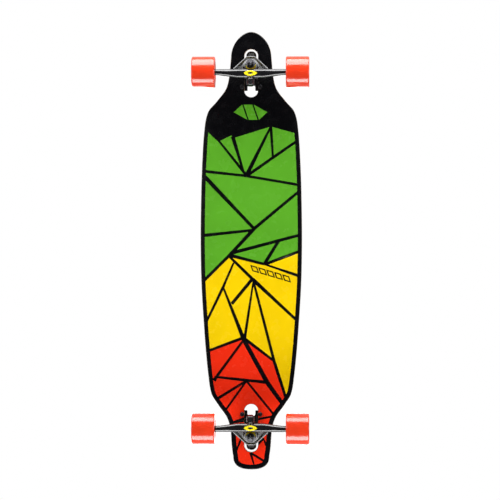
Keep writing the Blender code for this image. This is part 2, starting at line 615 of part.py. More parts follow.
def make_wheel(end, side, sense, steer, urethane, plastic, steel):
    """One wheel on an empty at the middle of its axle: tyre, core and two bearings.

    The tyre's flats, not its corners, lie at the wheel's radius, and one flat faces down.
    """
    hub = empty(f"{end}_{side}_hub", Vector((sense * TRACK / 2, 0.0, 0.0)) - RING_CENTRE, steer)
    half = WHEEL_WIDTH / 2
    lip = WHEEL_LIP_RADIUS
    tread = WHEEL_RADIUS / math.cos(math.pi / TYRE_ROUND)
    shoulder = [(tread - lip + lip * math.cos(a), half - lip + lip * math.sin(a))
                for a in (math.pi / 2 * i / 3 for i in range(4))]
    core_edge = (CORE_RADIUS + GAP) / math.cos(math.pi / TYRE_ROUND)
    outer = shoulder + [(WHEEL_RECESS_RADIUS, half), (core_edge + 0.001, CORE_HALF_WIDTH),
                        (core_edge, CORE_HALF_WIDTH)]
    tyre = [(r, -t) for r, t in reversed(outer)] + outer
    flat_down = ALONG_AXLE @ Matrix.Rotation(math.pi / TYRE_ROUND, 4, 'Z')
    solid(f"{end}_{side}_wheel", lathe("wheel", tyre, TYRE_ROUND, flat_down, True),
          urethane, hub)
    pocket = BEARING_RADIUS + GAP
    ledge = BEARING_INNER - GAP
    inner = [(CORE_RADIUS, CORE_HALF_WIDTH), (pocket + 0.001, CORE_HALF_WIDTH),
             (pocket, CORE_HALF_WIDTH - 0.001), (pocket, ledge), (CORE_BORE_RADIUS, ledge)]
    core = inner + [(r, -t) for r, t in reversed(inner)]
    solid(f"{end}_{side}_core", lathe("core", core, ROUND, ALONG_AXLE, True), plastic, hub)
    hole = AXLE_RADIUS + GAP
    for place, direction in (("outer", sense), ("inner", -sense)):
        limits = sorted((direction * BEARING_INNER, direction * BEARING_OUTER))
        ring = ((hole, limits[0]), (BEARING_RADIUS, limits[0]), (BEARING_RADIUS, limits[1]),
                (hole, limits[1]))
        solid(f"{end}_{side}_{place}_bearing", lathe("bearing", ring, ROUND, ALONG_AXLE, True),
              steel, hub)


def make_hardware(end, truck, dark):
    """Four bolts down through flange, tape and deck, with lock nuts under the deck."""
    head_low = FLANGE_TOP + GAP
    nut_top = DECK_BOTTOM - GAP
    nut_low = nut_top - BOLT_NUT_HEIGHT
    bolt_profile = ((BOLT_RADIUS, nut_low - BOLT_TAIL), (BOLT_RADIUS, head_low),
                    (BOLT_HEAD_RADIUS, head_low), (BOLT_HEAD_RADIUS, head_low + BOLT_HEAD_RIM),
                    (BOLT_HEAD_RADIUS - BOLT_HEAD_CHAMFER, head_low + BOLT_HEAD_HEIGHT))
    for number, (x, y) in enumerate(bolt_places(), 1):
        solid(f"{end}_bolt_{number}", lathe("bolt", bolt_profile, BOLT_ROUND), dark, truck,
              (x, y, 0.0))
        nut = solid(f"{end}_bolt_nut_{number}", rod("bolt_nut", BOLT_NUT_RADIUS, nut_low,
                                                    nut_top, HEX), dark, truck, (x, y, 0.0))
        bore = rod("bore", BOLT_RADIUS + GAP, nut_low - CUT_PAST, nut_top + CUT_PAST, BOLT_ROUND)
        combine(nut, helper(f"{end}_bolt_nut_bore_{number}", bore, truck, (x, y, 0.0)),
                'DIFFERENCE')


def main():
    clear_scene()
    wood = material("painted_deck", (0.05, 0.05, 0.05), 0.35)
    grit = material("grip_tape", (0.02, 0.02, 0.02), 0.95)
    black = material("black_truck", (0.02, 0.02, 0.022), 0.30, 0.6)
    steel = material("steel", (0.62, 0.62, 0.64), 0.28, 1.0)
    dark = material("dark_steel", (0.08, 0.08, 0.085), 0.35, 0.9)
    red = material("red_urethane", (0.80, 0.07, 0.02), 0.22)
    yellow = material("yellow_urethane", (0.85, 0.65, 0.02), 0.35)
    plastic = material("core_plastic", (0.03, 0.03, 0.03), 0.45)
    rubber = material("pivot_rubber", (0.03, 0.03, 0.03), 0.60)
    trucks = {"front": empty("front_truck", (0.0, AXLE_Y, WHEEL_RADIUS)),
              "rear": empty("rear_truck", (0.0, -AXLE_Y, WHEEL_RADIUS), turn=math.pi)}
    make_board(trucks, wood, grit)
    for end, truck in trucks.items():
        make_baseplate(end, truck, black)
        make_pivot_cup(end, truck, rubber)
        make_kingpin_stack(end, truck, steel, yellow, dark)
        rider_left = -1 if end == "front" else 1     # the rear truck is turned end for end
        sides = (("left", rider_left), ("right", -rider_left))
        steer = make_hanger(end, sides, truck, black, steel, dark)
        for side, sense in sides:
            make_wheel(end, side, sense, steer, red, plastic, steel)
        make_hardware(end, truck, dark)


main()
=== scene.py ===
"""Looks of a drop-through longboard with reverse-kingpin trucks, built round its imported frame.

Every piece is a finer version of a node of the frame, or a small piece that the frame leaves
out, such as a speed ring. Sizes are in metres. The board stands on its wheels with its nose at
+Y, and the camera looks up at the painted underside, so the floor shows only from above.
"""

import logging
import math
from collections.abc import Callable, Iterable, Sequence
from dataclasses import dataclass, field
from enum import Enum

import bmesh
import bpy
from mathutils import Matrix, Vector
from mathutils.bvhtree import BVHTree
from mathutils.geometry import delaunay_2d_cdt, intersect_point_line


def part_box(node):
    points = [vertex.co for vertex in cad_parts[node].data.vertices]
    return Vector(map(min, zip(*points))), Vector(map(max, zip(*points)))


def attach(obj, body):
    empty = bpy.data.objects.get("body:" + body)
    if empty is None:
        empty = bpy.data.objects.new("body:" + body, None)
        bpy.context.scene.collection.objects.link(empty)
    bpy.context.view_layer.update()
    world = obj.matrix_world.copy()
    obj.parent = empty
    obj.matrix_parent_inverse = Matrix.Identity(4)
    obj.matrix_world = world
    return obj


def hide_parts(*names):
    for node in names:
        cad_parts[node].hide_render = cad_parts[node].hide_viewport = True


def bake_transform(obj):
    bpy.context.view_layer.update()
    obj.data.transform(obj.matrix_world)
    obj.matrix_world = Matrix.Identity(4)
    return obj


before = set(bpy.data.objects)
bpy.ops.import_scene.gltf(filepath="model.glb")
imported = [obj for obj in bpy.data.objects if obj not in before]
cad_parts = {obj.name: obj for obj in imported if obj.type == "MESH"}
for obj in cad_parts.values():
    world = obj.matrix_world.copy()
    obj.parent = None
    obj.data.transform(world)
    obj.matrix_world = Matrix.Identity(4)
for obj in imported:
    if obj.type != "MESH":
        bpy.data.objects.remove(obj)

LOG = logging.getLogger("longboard")
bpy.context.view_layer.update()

Point2 = tuple[float, float]
Point3 = tuple[float, float, float]
Color = tuple[float, float, float]
Corner = tuple[float, float, float]
Socket = bpy.types.NodeSocket
Mesh = bpy.types.Mesh

GAP = 0.0003           # clearance between pieces that fit together
TAU = 2 * math.pi
HEX_SIDES = 48         # sides round a nut, a multiple of six


# ---------------------------------------------------------------- finishes
class Nodes:
    """Builds the node tree of one material round its Principled shader."""

    def __init__(self, name: str) -> None:
        """Start an empty material.

        Args:
            name: the material's name.
        """
        self.material = bpy.data.materials.new(name)
        self.material.use_nodes = True
        self.tree = self.material.node_tree
        self.shader = self.tree.nodes["Principled BSDF"]
        self.place = self.tree.nodes.new("ShaderNodeTexCoord").outputs["Object"]

    def link(self, source: Socket, target: Socket) -> None:
        """Join two sockets."""
        self.tree.links.new(source, target)

    def stretched(self, scale: Point3) -> Socket:
        """Object coordinates stretched by a scale for each axis.

        Args:
            scale: how much finer the pattern runs along each axis.

        Returns:
            The stretched coordinates.
        """
        node = self.tree.nodes.new("ShaderNodeMapping")
        node.inputs["Scale"].default_value = scale
        self.link(self.place, node.inputs["Vector"])
        return node.outputs["Vector"]

    def noise(self, scale: float, detail: float = 3.0, roughness: float = 0.5,
              vector: Socket | None = None) -> Socket:
        """Smooth noise from 0 to 1.

        Args:
            scale: features per metre.
            detail: how many finer octaves are added.
            roughness: weight of the finer octaves.
            vector: coordinates, or None for plain object coordinates.

        Returns:
            The noise value.
        """
        node = self.tree.nodes.new("ShaderNodeTexNoise")
        node.inputs["Scale"].default_value = scale
        node.inputs["Detail"].default_value = detail
        node.inputs["Roughness"].default_value = roughness
        self.link(vector or self.place, node.inputs["Vector"])
        return node.outputs["Fac"]

    def grains(self, scale: float) -> Socket:
        """Distance to the nearest grain of a scatter with that many grains per metre."""
        node = self.tree.nodes.new("ShaderNodeTexVoronoi")
        node.inputs["Scale"].default_value = scale
        self.link(self.place, node.inputs["Vector"])
        return node.outputs["Distance"]

    def span(self, value: Socket, low: float, high: float,
             out_low: float, out_high: float) -> Socket:
        """A value moved from one range to another, held at its ends.

        Args:
            value: the value to move.
            low: the start of its range.
            high: the end of its range.
            out_low: what the start becomes.
            out_high: what the end becomes.

        Returns:
            The moved value.
        """
        node = self.tree.nodes.new("ShaderNodeMapRange")
        numbers = (low, high, out_low, out_high)
        for name, number in zip(("From Min", "From Max", "To Min", "To Max"), numbers):
            node.inputs[name].default_value = number
        self.link(value, node.inputs["Value"])
        return node.outputs["Result"]

    def add(self, one: Socket, other: Socket) -> Socket:
        """The sum of two values."""
        node = self.tree.nodes.new("ShaderNodeMath")
        node.operation = "ADD"
        self.link(one, node.inputs[0])
        self.link(other, node.inputs[1])
        return node.outputs[0]

    def blend(self, share: Socket, one: Color | Socket,
              other: Color) -> Socket:
        """A colour between two others.

        Args:
            share: 0 for the first colour and 1 for the second.
            one: the first colour, or a socket that gives it.
            other: the second colour.

        Returns:
            The mixed colour.
        """
        node = self.tree.nodes.new("ShaderNodeMix")
        node.data_type = "RGBA"
        self.link(share, node.inputs["Factor"])
        for socket, color in ((node.inputs[6], one), (node.inputs[7], other)):
            if isinstance(color, tuple):
                socket.default_value = (*color, 1.0)
            else:
                self.link(color, socket)
        return node.outputs[2]

    def bump(self, height: Socket, depth: float, strength: float = 1.0) -> None:
        """Press a height pattern into the surface.

        Args:
            height: the pattern, from 0 to 1.
            depth: its depth in metres.
            strength: how much of it shows.
        """
        node = self.tree.nodes.new("ShaderNodeBump")
        node.inputs["Distance"].default_value = depth
        node.inputs["Strength"].default_value = strength
        self.link(height, node.inputs["Height"])
        self.link(node.outputs["Normal"], self.shader.inputs["Normal"])

    def edges(self, low: float, high: float) -> Socket:
        """0 on flat metal, rising to 1 on its sharpest outside edges.

        Args:
            low: sharpness where wear starts.
            high: sharpness where it is full.

        Returns:
            The wear value.
        """
        node = self.tree.nodes.new("ShaderNodeNewGeometry")
        return self.span(node.outputs["Pointiness"], low, high, 0.0, 1.0)

    def set(self, **numbers: float | Color) -> None:
        """Set plain values on the shader, named with underscores for spaces."""
        for name, number in numbers.items():
            socket = self.shader.inputs[name.replace("_", " ").title().replace("Ior", "IOR")]
            socket.default_value = (*number, 1.0) if isinstance(number, tuple) else number

    def colored(self, color: Socket) -> None:
        """Give the shader its colour."""
        self.link(color, self.shader.inputs["Base Color"])

    def roughened(self, value: Socket) -> None:
        """Give the shader its roughness."""
        self.link(value, self.shader.inputs["Roughness"])


@dataclass(frozen=True)
class Finish:
    """A named surface finish. Each kind fills in its own nodes."""

    name: str
    color: Color

    def shaded(self, factor: float) -> Color:
        """The colour made lighter or darker by a factor."""
        return tuple(min(1.0, channel * factor) for channel in self.color)

    def dress(self, nodes: Nodes) -> None:
        """Add this finish's nodes; each kind has its own."""
        raise NotImplementedError

    def material(self) -> bpy.types.Material:
        """The finish as a material, made once and then shared.

        Returns:
            The material.
        """
        known = bpy.data.materials.get(self.name)
        if known is not None:
            return known
        nodes = Nodes(self.name)
        self.dress(nodes)
        return nodes.material


@dataclass(frozen=True)
class PrintedPaint(Finish):
    """Ink printed on veneer under clear lacquer."""

    roughness: float = 0.24

    def dress(self, nodes: Nodes) -> None:
        """Mottled ink, fine scuffs and a faint ripple in the lacquer."""
        cloud = nodes.noise(14.0, 5.0)
        ink = nodes.blend(nodes.span(cloud, 0.35, 0.65, 0.0, 1.0), self.shaded(0.95),
                          self.shaded(1.04))
        scuffs = nodes.noise(1.0, 4.0, 0.7, nodes.stretched((900.0, 26.0, 60.0)))
        marks = nodes.span(scuffs, 0.66, 0.74, 0.0, 0.25)
        nodes.colored(nodes.blend(marks, ink, self.shaded(1.15)))
        base = nodes.span(nodes.noise(55.0, 4.0), 0.3, 0.7, self.roughness - 0.05,
                          self.roughness + 0.07)
        nodes.roughened(nodes.add(base, nodes.span(scuffs, 0.64, 0.72, 0.0, 0.12)))
        nodes.bump(nodes.noise(420.0, 2.0), 0.00025, 0.10)
        nodes.set(specular_ior_level=0.28)


@dataclass(frozen=True)
class CastCoat(Finish):
    """Gloss enamel on a metal casting, rubbed thin along its edges."""

    worn: Color = (0.075, 0.075, 0.080)

    def dress(self, nodes: Nodes) -> None:
        """Deep enamel over a slightly rippled casting, with rubbed edges."""
        cloud = nodes.span(nodes.noise(60.0, 4.0), 0.3, 0.7, 0.0, 1.0)
        enamel = nodes.blend(cloud, self.color, self.shaded(1.5))
        nodes.colored(nodes.blend(nodes.edges(0.56, 0.70), enamel, self.worn))
        nodes.roughened(nodes.span(nodes.noise(130.0, 4.0, 0.6), 0.3, 0.7, 0.17, 0.23))
        nodes.bump(nodes.noise(520.0, 3.0, 0.55), 0.0003, 0.06)
        nodes.set(specular_ior_level=0.60, coat_weight=0.22, coat_roughness=0.08)


@dataclass(frozen=True)
class Metal(Finish):
    """Bare or blackened steel with fine turning marks."""

    roughness: float = 0.26

    def dress(self, nodes: Nodes) -> None:
        """Metal with fine marks round it and a little staining."""
        marks = nodes.noise(1.0, 4.0, 0.6, nodes.stretched((2600.0, 240.0, 240.0)))
        stain = nodes.span(nodes.noise(210.0, 4.0), 0.4, 0.7, 0.0, 0.35)
        nodes.colored(nodes.blend(stain, self.color, self.shaded(0.72)))
        nodes.roughened(nodes.span(marks, 0.3, 0.7, self.roughness - 0.06,
                                   self.roughness + 0.12))
        nodes.bump(marks, 0.0001, 0.12)
        nodes.set(metallic=1.0)


@dataclass(frozen=True)
class Urethane(Finish):
    """Poured urethane: glossy, with some light travelling inside it."""

    roughness: float = 0.17
    glow: float = 0.10

    def dress(self, nodes: Nodes) -> None:
        """Even colour with slow swirls from pouring, faint dust and a soft gloss."""
        swirl = nodes.span(nodes.noise(38.0, 3.0), 0.35, 0.65, 0.0, 1.0)
        poured = nodes.blend(swirl, self.shaded(0.95), self.shaded(1.05))
        dust = nodes.span(nodes.noise(900.0, 3.0, 0.7), 0.60, 0.75, 0.0, 0.10)
        nodes.colored(nodes.blend(dust, poured, (0.85, 0.62, 0.55)))
        nodes.roughened(nodes.span(nodes.noise(95.0, 4.0), 0.3, 0.7, self.roughness - 0.03,
                                   self.roughness + 0.06))
        nodes.bump(nodes.noise(700.0, 2.0), 0.0002, 0.05)
        nodes.set(subsurface_weight=self.glow, subsurface_scale=0.004,
                  specular_ior_level=0.6)


@dataclass(frozen=True)
class Moulded(Finish):
    """Moulded plastic or rubber with a fine spark-eroded grain."""

    roughness: float = 0.48

    def dress(self, nodes: Nodes) -> None:
        """Fine even grain with faint flow lines."""
        flow = nodes.span(nodes.noise(80.0, 3.0), 0.35, 0.65, 0.0, 1.0)
        nodes.colored(nodes.blend(flow, self.shaded(0.9), self.shaded(1.12)))
        nodes.roughened(nodes.span(nodes.noise(260.0, 3.0), 0.3, 0.7, self.roughness - 0.08,
                                   self.roughness + 0.08))
        nodes.bump(nodes.grains(2200.0), 0.00012, 0.25)


@dataclass(frozen=True)
class Grit(Finish):
    """Abrasive sheet: dark resin full of hard grains, with painted glints where a few grains would
    catch the light.
    """

    # spark: the colour of the painted glints on a few grains
    spark: Color = (0.16, 0.16, 0.17)

    def dress(self, nodes: Nodes) -> None:
        """Dense grains, a few grains painted light as glints, and dusty patches from shoes."""
        grain = nodes.grains(1500.0)
        # painted glints: a few grains get a light colour in place of the light that they would
        # catch
        painted_glint_mask = nodes.span(nodes.noise(2400.0, 1.0), 0.66, 0.74, 0.0, 1.0)
        dust = nodes.span(nodes.noise(9.0, 5.0), 0.45, 0.75, 0.0, 0.35)
        dusty = nodes.blend(dust, self.color, (0.050, 0.048, 0.046))
        nodes.colored(nodes.blend(painted_glint_mask, dusty, self.spark))
        nodes.roughened(nodes.span(nodes.noise(1800.0, 2.0), 0.3, 0.7, 0.62, 0.95))
        nodes.bump(nodes.add(grain, nodes.noise(3000.0, 2.0)), 0.0006, 0.8)


@dataclass(frozen=True)
class MapleVeneer(Finish):
    """Clear-coated maple, with its grain along the board or across it."""

    along: bool = True

    def dress(self, nodes: Nodes) -> None:
        """Straight grain, darker pores and a satin coat."""
        stretch = (420.0, 9.0, 420.0) if self.along else (16.0, 420.0, 420.0)
        grain = nodes.noise(1.0, 5.0, 0.6, nodes.stretched(stretch))
        cloud = nodes.span(nodes.noise(22.0, 4.0), 0.3, 0.7, 0.0, 1.0)
        wood = nodes.blend(cloud, self.shaded(0.92), self.shaded(1.06))
        nodes.colored(nodes.blend(nodes.span(grain, 0.50, 0.72, 0.0, 0.6), wood,
                                  self.shaded(0.62)))
        nodes.roughened(nodes.span(grain, 0.3, 0.7, 0.34, 0.52))
        nodes.bump(grain, 0.0001, 0.25)


class Palette(Enum):
    """Every finish on the board."""

    BLACK = PrintedPaint("black_print", (0.0016, 0.0016, 0.0022))
    GREEN = PrintedPaint("green_print", (0.078, 0.300, 0.016))
    YELLOW = PrintedPaint("yellow_print", (0.720, 0.485, 0.0015))
    RED = PrintedPaint("red_print", (0.700, 0.022, 0.005))
    MAPLE = MapleVeneer("maple_long_grain", (0.60, 0.42, 0.25))
    MAPLE_CROSS = MapleVeneer("maple_cross_grain", (0.43, 0.27, 0.14), False)
    GRIT = Grit("grip_grit", (0.013, 0.013, 0.014))
    CASTING = CastCoat("black_enamel", (0.0050, 0.0050, 0.0058))
    STEEL = Metal("plated_steel", (0.56, 0.57, 0.60))
    CHROME = Metal("ground_steel", (0.66, 0.67, 0.69), 0.18)
    OXIDE = Metal("black_oxide_steel", (0.060, 0.060, 0.065), 0.30)
    WHEEL = Urethane("red_wheel_urethane", (0.620, 0.034, 0.009))
    BUSHING = Urethane("yellow_bushing_urethane", (0.780, 0.600, 0.012), 0.26, 0.15)
    CORE = Moulded("black_core_nylon", (0.014, 0.014, 0.015))
    NYLON = Moulded("nut_nylon", (0.030, 0.032, 0.036), 0.40)
    SHIELD = Moulded("bearing_shield", (0.012, 0.012, 0.013), 0.40)
    RUBBER = Moulded("pivot_rubber", (0.020, 0.020, 0.021), 0.60)
    MARK = PrintedPaint("yellow_mark", (0.760, 0.640, 0.010), 0.32)

    @property
    def material(self) -> bpy.types.Material:
        """The finish's material."""
        return self.value.material()


# ---------------------------------------------------------------- shapes
def rounded_path(corners: Sequence[Corner], closed: bool = False,
                 steps: int = 4) -> list[Point2]:
    """A path through corners, each rounded to its own radius.

    Args:
        corners: x, y and the rounding radius of each corner; 0 keeps it sharp.
        closed: whether the last corner joins the first.
        steps: how many chords each rounded corner has.

    Returns:
        The points of the path.
    """
    path: list[Point2] = []
    count = len(corners)
    for index, (x, y, radius) in enumerate(corners):
        at_end = not closed and index in (0, count - 1)
        if radius == 0.0 or at_end:
            path.append((x, y))
            continue
        here = Vector((x, y))
        back = Vector(corners[index - 1][:2]) - here
        ahead = Vector(corners[(index + 1) % count][:2]) - here
        half_angle = back.angle(ahead) / 2
        reach = min(radius / math.tan(half_angle), 0.49 * back.length, 0.49 * ahead.length)
        used = reach * math.tan(half_angle)
        start = here + back.normalized() * reach
        end = here + ahead.normalized() * reach
        centre = here + (back.normalized() + ahead.normalized()).normalized() \
            * (used / math.sin(half_angle))
        first = start - centre
        sweep = first.angle_signed(end - centre)
        for step in range(steps + 1):
            turn = Matrix.Rotation(-sweep * step / steps, 2)
            path.append(tuple(centre + turn @ first))
    return path


def circle(radius: float, segments: int) -> list[Point2]:
    """Points round a circle about the origin.

    Args:
        radius: the circle's radius.
        segments: how many points.

    Returns:
        The points, anticlockwise.
    """
    return [(radius * math.cos(TAU * i / segments), radius * math.sin(TAU * i / segments))
            for i in range(segments)]


def quarter_round(radius: float, steps: int = 8) -> list[Point2]:
    """A ball's profile from just beside its lowest point to its equator.

    Args:
        radius: the ball's radius.
        steps: how many chords.

    Returns:
        (radius, along) points.
    """
    return [(radius * math.sin(a), -radius * math.cos(a))
            for a in (math.pi / 2 * i / steps for i in range(1, steps + 1))]


def hex_reach(angle: float, inscribed: float) -> float:
    """Distance from a hexagon's middle to its side at an angle.

    Args:
        angle: direction from the middle, in radians.
        inscribed: half the hexagon's width across its flats.

    Returns:
        The distance.
    """
    sixth = math.pi / 3
    return inscribed / math.cos((angle + sixth / 2) % sixth - sixth / 2)


@dataclass
class Shape:
    """Points and faces of one piece as it grows, with a finish for each face."""

    points: list[Vector] = field(default_factory=list)
    faces: list[tuple[int, ...]] = field(default_factory=list)
    finishes: list[Palette] = field(default_factory=list)

    def add(self, points: Iterable[Sequence[float]], faces: Iterable[Sequence[int]],
            finish: Palette, place: Matrix | None = None) -> None:
        """Add points and the faces between them.

        Args:
            points: the new points.
            faces: faces as indices into the new points.
            finish: the finish of the new faces.
            place: matrix that moves the new points.
        """
        start = len(self.points)
        self.points += [(place @ Vector(p)) if place else Vector(p) for p in points]
        fresh = [tuple(start + i for i in face) for face in faces]
        self.faces += fresh
        self.finishes += [finish] * len(fresh)

    def loops(self, rings: Sequence[Sequence[Sequence[float]]], finish: Palette,
              place: Matrix | None = None, closed: bool = False, capped: bool = True,
              band_finish: Callable[[int], Palette] | None = None) -> None:
        """Skin between rings that all have the same number of points.

        Args:
            rings: the rings, in order.
            finish: the finish of the skin.
            place: matrix that moves the points.
            closed: whether the last ring joins the first, as round a bore.
            capped: whether the end rings are filled.
            band_finish: gives a band's finish by its number, instead of finish.
        """
        count = len(rings[0])
        points = [p for ring in rings for p in ring]
        bands = len(rings) if closed else len(rings) - 1
        for band in range(bands):
            low, high = band * count, (band + 1) % len(rings) * count
            faces = [(low + i, low + (i + 1) % count, high + (i + 1) % count, high + i)
                     for i in range(count)]
            chosen = band_finish(band) if band_finish else finish
            if band == 0:
                start = len(self.points)
                self.add(points, faces, chosen, place)
            else:
                self.faces += [tuple(start + i for i in face) for face in faces]
                self.finishes += [chosen] * len(faces)
        if capped and not closed:
            last = (len(rings) - 1) * count
            for cap, chosen in ((range(count), 0), (range(last, last + count), bands - 1)):
                self.faces.append(tuple(start + i for i in cap))
                self.finishes.append(band_finish(chosen) if band_finish else finish)

    def lathe(self, profile: Sequence[Point2], finish: Palette, place: Matrix | None = None,
              segments: int = 64, ring: bool = False) -> None:
        """Turn a profile of (radius, along) points about Z.

        Args:
            profile: the profile's points.
            finish: the finish.
            place: matrix that moves the points.
            segments: sides round the axis.
            ring: whether the profile closes on itself round a bore.
        """
        rings = [[(x, y, along) for x, y in circle(radius, segments)]
                 for radius, along in profile]
        self.loops(rings, finish, place, ring)

    def prism(self, outline: Sequence[Point2], low: float, high: float, finish: Palette,
              place: Matrix | None = None, edge: float = 0.0) -> None:
        """Raise a closed outline, with its rims bevelled.

        Args:
            outline: the outline's points.
            low: height of its underside.
            high: height of its top.
            finish: the finish.
            place: matrix that moves the points.
            edge: size of the bevel round both rims.
        """
        levels = ((edge, low), (0.0, low + edge), (0.0, high - edge), (edge, high)) \
            if edge else ((0.0, low), (0.0, high))
        rings = [[(x, y, z) for x, y in inset_loop(outline, inset)] for inset, z in levels]
        self.loops(rings, finish, place)

    def hexagon(self, inscribed: float, bore: float, low: float, high: float, finish: Palette,
                place: Matrix | None = None) -> None:
        """A hexagonal nut body with chamfered corners round a bore.

        Args:
            inscribed: half its width across the flats.
            bore: radius of its hole.
            low: height of its lower face.
            high: height of its upper face.
            finish: the finish.
            place: matrix that moves the points.
        """
        crown = inscribed * 1.02
        drop = inscribed * 0.10
        levels = ((bore, low, True), (bore + 0.0003, low, True), (crown, low, False),
                  (crown + drop * 1.4, low + drop, False),
                  (crown + drop * 1.4, high - drop, False), (crown, high, False),
                  (bore + 0.0004, high, True), (bore, high - 0.0004, True))
        rings = []
        for reach, height, is_round in levels:
            ring = []
            for i in range(HEX_SIDES):
                angle = TAU * i / HEX_SIDES
                radius = reach if is_round else min(reach, hex_reach(angle, inscribed))
                ring.append((radius * math.cos(angle), radius * math.sin(angle), height))
            rings.append(ring)
        self.loops(rings, finish, place, closed=True)

    def thread(self, radius: float, low: float, high: float, pitch: float, finish: Palette,
               place: Matrix | None = None, segments: int = 24) -> None:
        """A threaded rod whose crest winds up at the given pitch.

        Args:
            radius: radius over the crests.
            low: height of one end.
            high: height of the other.
            pitch: rise of the crest in one turn.
            finish: the finish.
            place: matrix that moves the points.
            segments: sides round it.
        """
        depth = 0.55 * pitch
        rows = max(4, math.ceil((high - low) / pitch * 6))
        rings = []
        for row in range(rows + 1):
            height = low + (high - low) * row / rows
            taper = min(1.0, (high - height) / pitch + 0.25, (height - low) / pitch + 0.25)
            ring = []
            for i in range(segments):
                phase = (height / pitch - i / segments) % 1.0
                cut = depth * (1 - abs(2 * phase - 1)) * min(1.0, taper)
                reach = radius - cut - depth * 0.6 * (1 - taper)
                ring.append((reach * math.cos(TAU * i / segments),
                             reach * math.sin(TAU * i / segments), height))
            rings.append(ring)
        self.loops(rings, finish, place)

    def mesh(self, name: str, sharp: float = 32.0) -> Mesh:
        """The shape as a mesh with its faces pointing out.

        Args:
            name: the mesh's name.
            sharp: angle in degrees above which an edge stays crisp.

        Returns:
            The mesh.
        """
        mesh = bpy.data.meshes.new(name)
        mesh.from_pydata(self.points, [], self.faces)
        used = list(dict.fromkeys(self.finishes))
        for finish in used:
            mesh.materials.append(finish.material)
        mesh.polygons.foreach_set("material_index", [used.index(f) for f in self.finishes])
        bm = bmesh.new()
        bm.from_mesh(mesh)
        bmesh.ops.recalc_face_normals(bm, faces=bm.faces)
        bm.to_mesh(mesh)
        bm.free()
        mesh.shade_smooth()
        mesh.set_sharp_from_angle(angle=math.radians(sharp))
        return mesh


def inset_loop(outline: Sequence[Point2], inset: float) -> list[Point2]:
    """A closed outline moved inwards by a distance, point by point.

    Args:
        outline: the outline's points.
        inset: how far each point moves towards the inside.

    Returns:
        The moved points.
    """
    if inset == 0.0:
        return list(outline)
    count = len(outline)
    area = sum(outline[i - 1][0] * outline[i][1] - outline[i][0] * outline[i - 1][1]
               for i in range(count))
    turn = 1.0 if area > 0 else -1.0
    moved = []
    for i, (x, y) in enumerate(outline):
        before, after = outline[i - 1], outline[(i + 1) % count]
        one = Vector((x - before[0], y - before[1]))
        two = Vector((after[0] - x, after[1] - y))
        one = one.normalized() if one.length else two.normalized()
        two = two.normalized() if two.length else one
        along = (one + two).normalized()
        stretch = 1.0 / max(0.5, along.dot(one))
        moved.append((x - along.y * inset * turn * stretch, y + along.x * inset * turn * stretch))
    return moved


def inside(point: Point2, outline: Sequence[Point2]) -> bool:
    """Whether a point lies inside a closed outline.

    Args:
        point: the point.
        outline: the outline's points.

    Returns:
        True if it is inside.
    """
    x, y = point
    found = False
    for (x0, y0), (x1, y1) in zip(outline, [*outline[1:], outline[0]]):
        if (y0 > y) != (y1 > y) and x < (x1 - x0) * (y - y0) / (y1 - y0) + x0:
            found = not found
    return found


def curve_height(knots: Sequence[Point2], at: float) -> float:
    """Height of straight runs between (position, height) knots, positions rising.

    Args:
        knots: the knots.
        at: the position.

    Returns:
        The height there, carried on past the ends.
    """
    index = 0
    while index < len(knots) - 2 and at > knots[index + 1][0]:
        index += 1
    (x0, y0), (x1, y1) = knots[index], knots[index + 1]
    return y0 + (y1 - y0) * (at - x0) / (x1 - x0)


def smooth_curve(knots: Sequence[Point2], at: float) -> float:
    """Monotone cubic curve through (position, value) knots, positions rising.

    Args:
        knots: the knots.
        at: the position.

    Returns:
        The value there.
    """
    slopes = [(b[1] - a[1]) / (b[0] - a[0]) for a, b in zip(knots, knots[1:])]
    tangents = [slopes[0]]
    for before, after in zip(slopes, slopes[1:]):
        level = before * after <= 0.0
        tangents.append(0.0 if level else 2 * before * after / (before + after))
    tangents.append(slopes[-1])
    index = max(i for i, knot in enumerate(knots[:-1]) if knot[0] <= at or i == 0)
    (x0, y0), (x1, y1) = knots[index], knots[index + 1]
    span = x1 - x0
    t = (at - x0) / span
    return ((1 + 2 * t) * (1 - t) ** 2 * y0 + t * (1 - t) ** 2 * span * tangents[index]
            + t * t * (3 - 2 * t) * y1 + t * t * (t - 1) * span * tangents[index + 1])


def frame_along(origin: Vector, direction: Vector) -> Matrix:
    """Matrix that takes Z to a direction and the origin to a point, with X kept level.

    Args:
        origin: where the origin goes.
        direction: where Z points.

    Returns:
        The matrix.
    """
    z_axis = direction.normalized()
    y_axis = z_axis.cross(Vector((1.0, 0.0, 0.0))).normalized()
    x_axis = y_axis.cross(z_axis)
    turn = Matrix((x_axis, y_axis, z_axis)).transposed().to_4x4()
    return Matrix.Translation(origin) @ turn


def new_object(name: str, data: bpy.types.ID) -> bpy.types.Object:
    """A new object in the scene.

    Args:
        name: the object's name.
        data: its mesh, lamp or camera.

    Returns:
        The object.
    """
    thing = bpy.data.objects.new(name, data)
    bpy.context.scene.collection.objects.link(thing)
    return thing


def add_piece(name: str, mesh: Mesh, body: str,
              stands_for: Sequence[str] = (), place: Matrix | None = None) -> bpy.types.Object:
    """Link a mesh as a piece that moves with a body.

    Args:
        name: the piece's name.
        mesh: its mesh.
        body: the body that it rides on.
        stands_for: the frame's nodes that it replaces.
        place: where the piece's own origin goes.

    Returns:
        The piece.
    """
    piece = new_object(name, mesh)
    if place is not None:
        piece.matrix_world = place
    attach(piece, body)
    if stands_for:
        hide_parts(*stands_for)
    LOG.info("%s: %d faces on %s", name, len(mesh.polygons), body)
    return piece


# ---------------------------------------------------------------- deck
@dataclass(frozen=True)
class Seam:
    """A black line of the panel art, from one point to another, with its width at each."""

    start: Point2
    end: Point2
    start_width: float
    end_width: float

    def outline(self) -> list[Point2]:
        """The line's four corners."""
        one, two = Vector(self.start), Vector(self.end)
        along = (two - one).normalized()
        side = Vector((-along.y, along.x))
        return [tuple(one + side * self.start_width / 2), tuple(one - side * self.start_width / 2),
                tuple(two - side * self.end_width / 2), tuple(two + side * self.end_width / 2)]


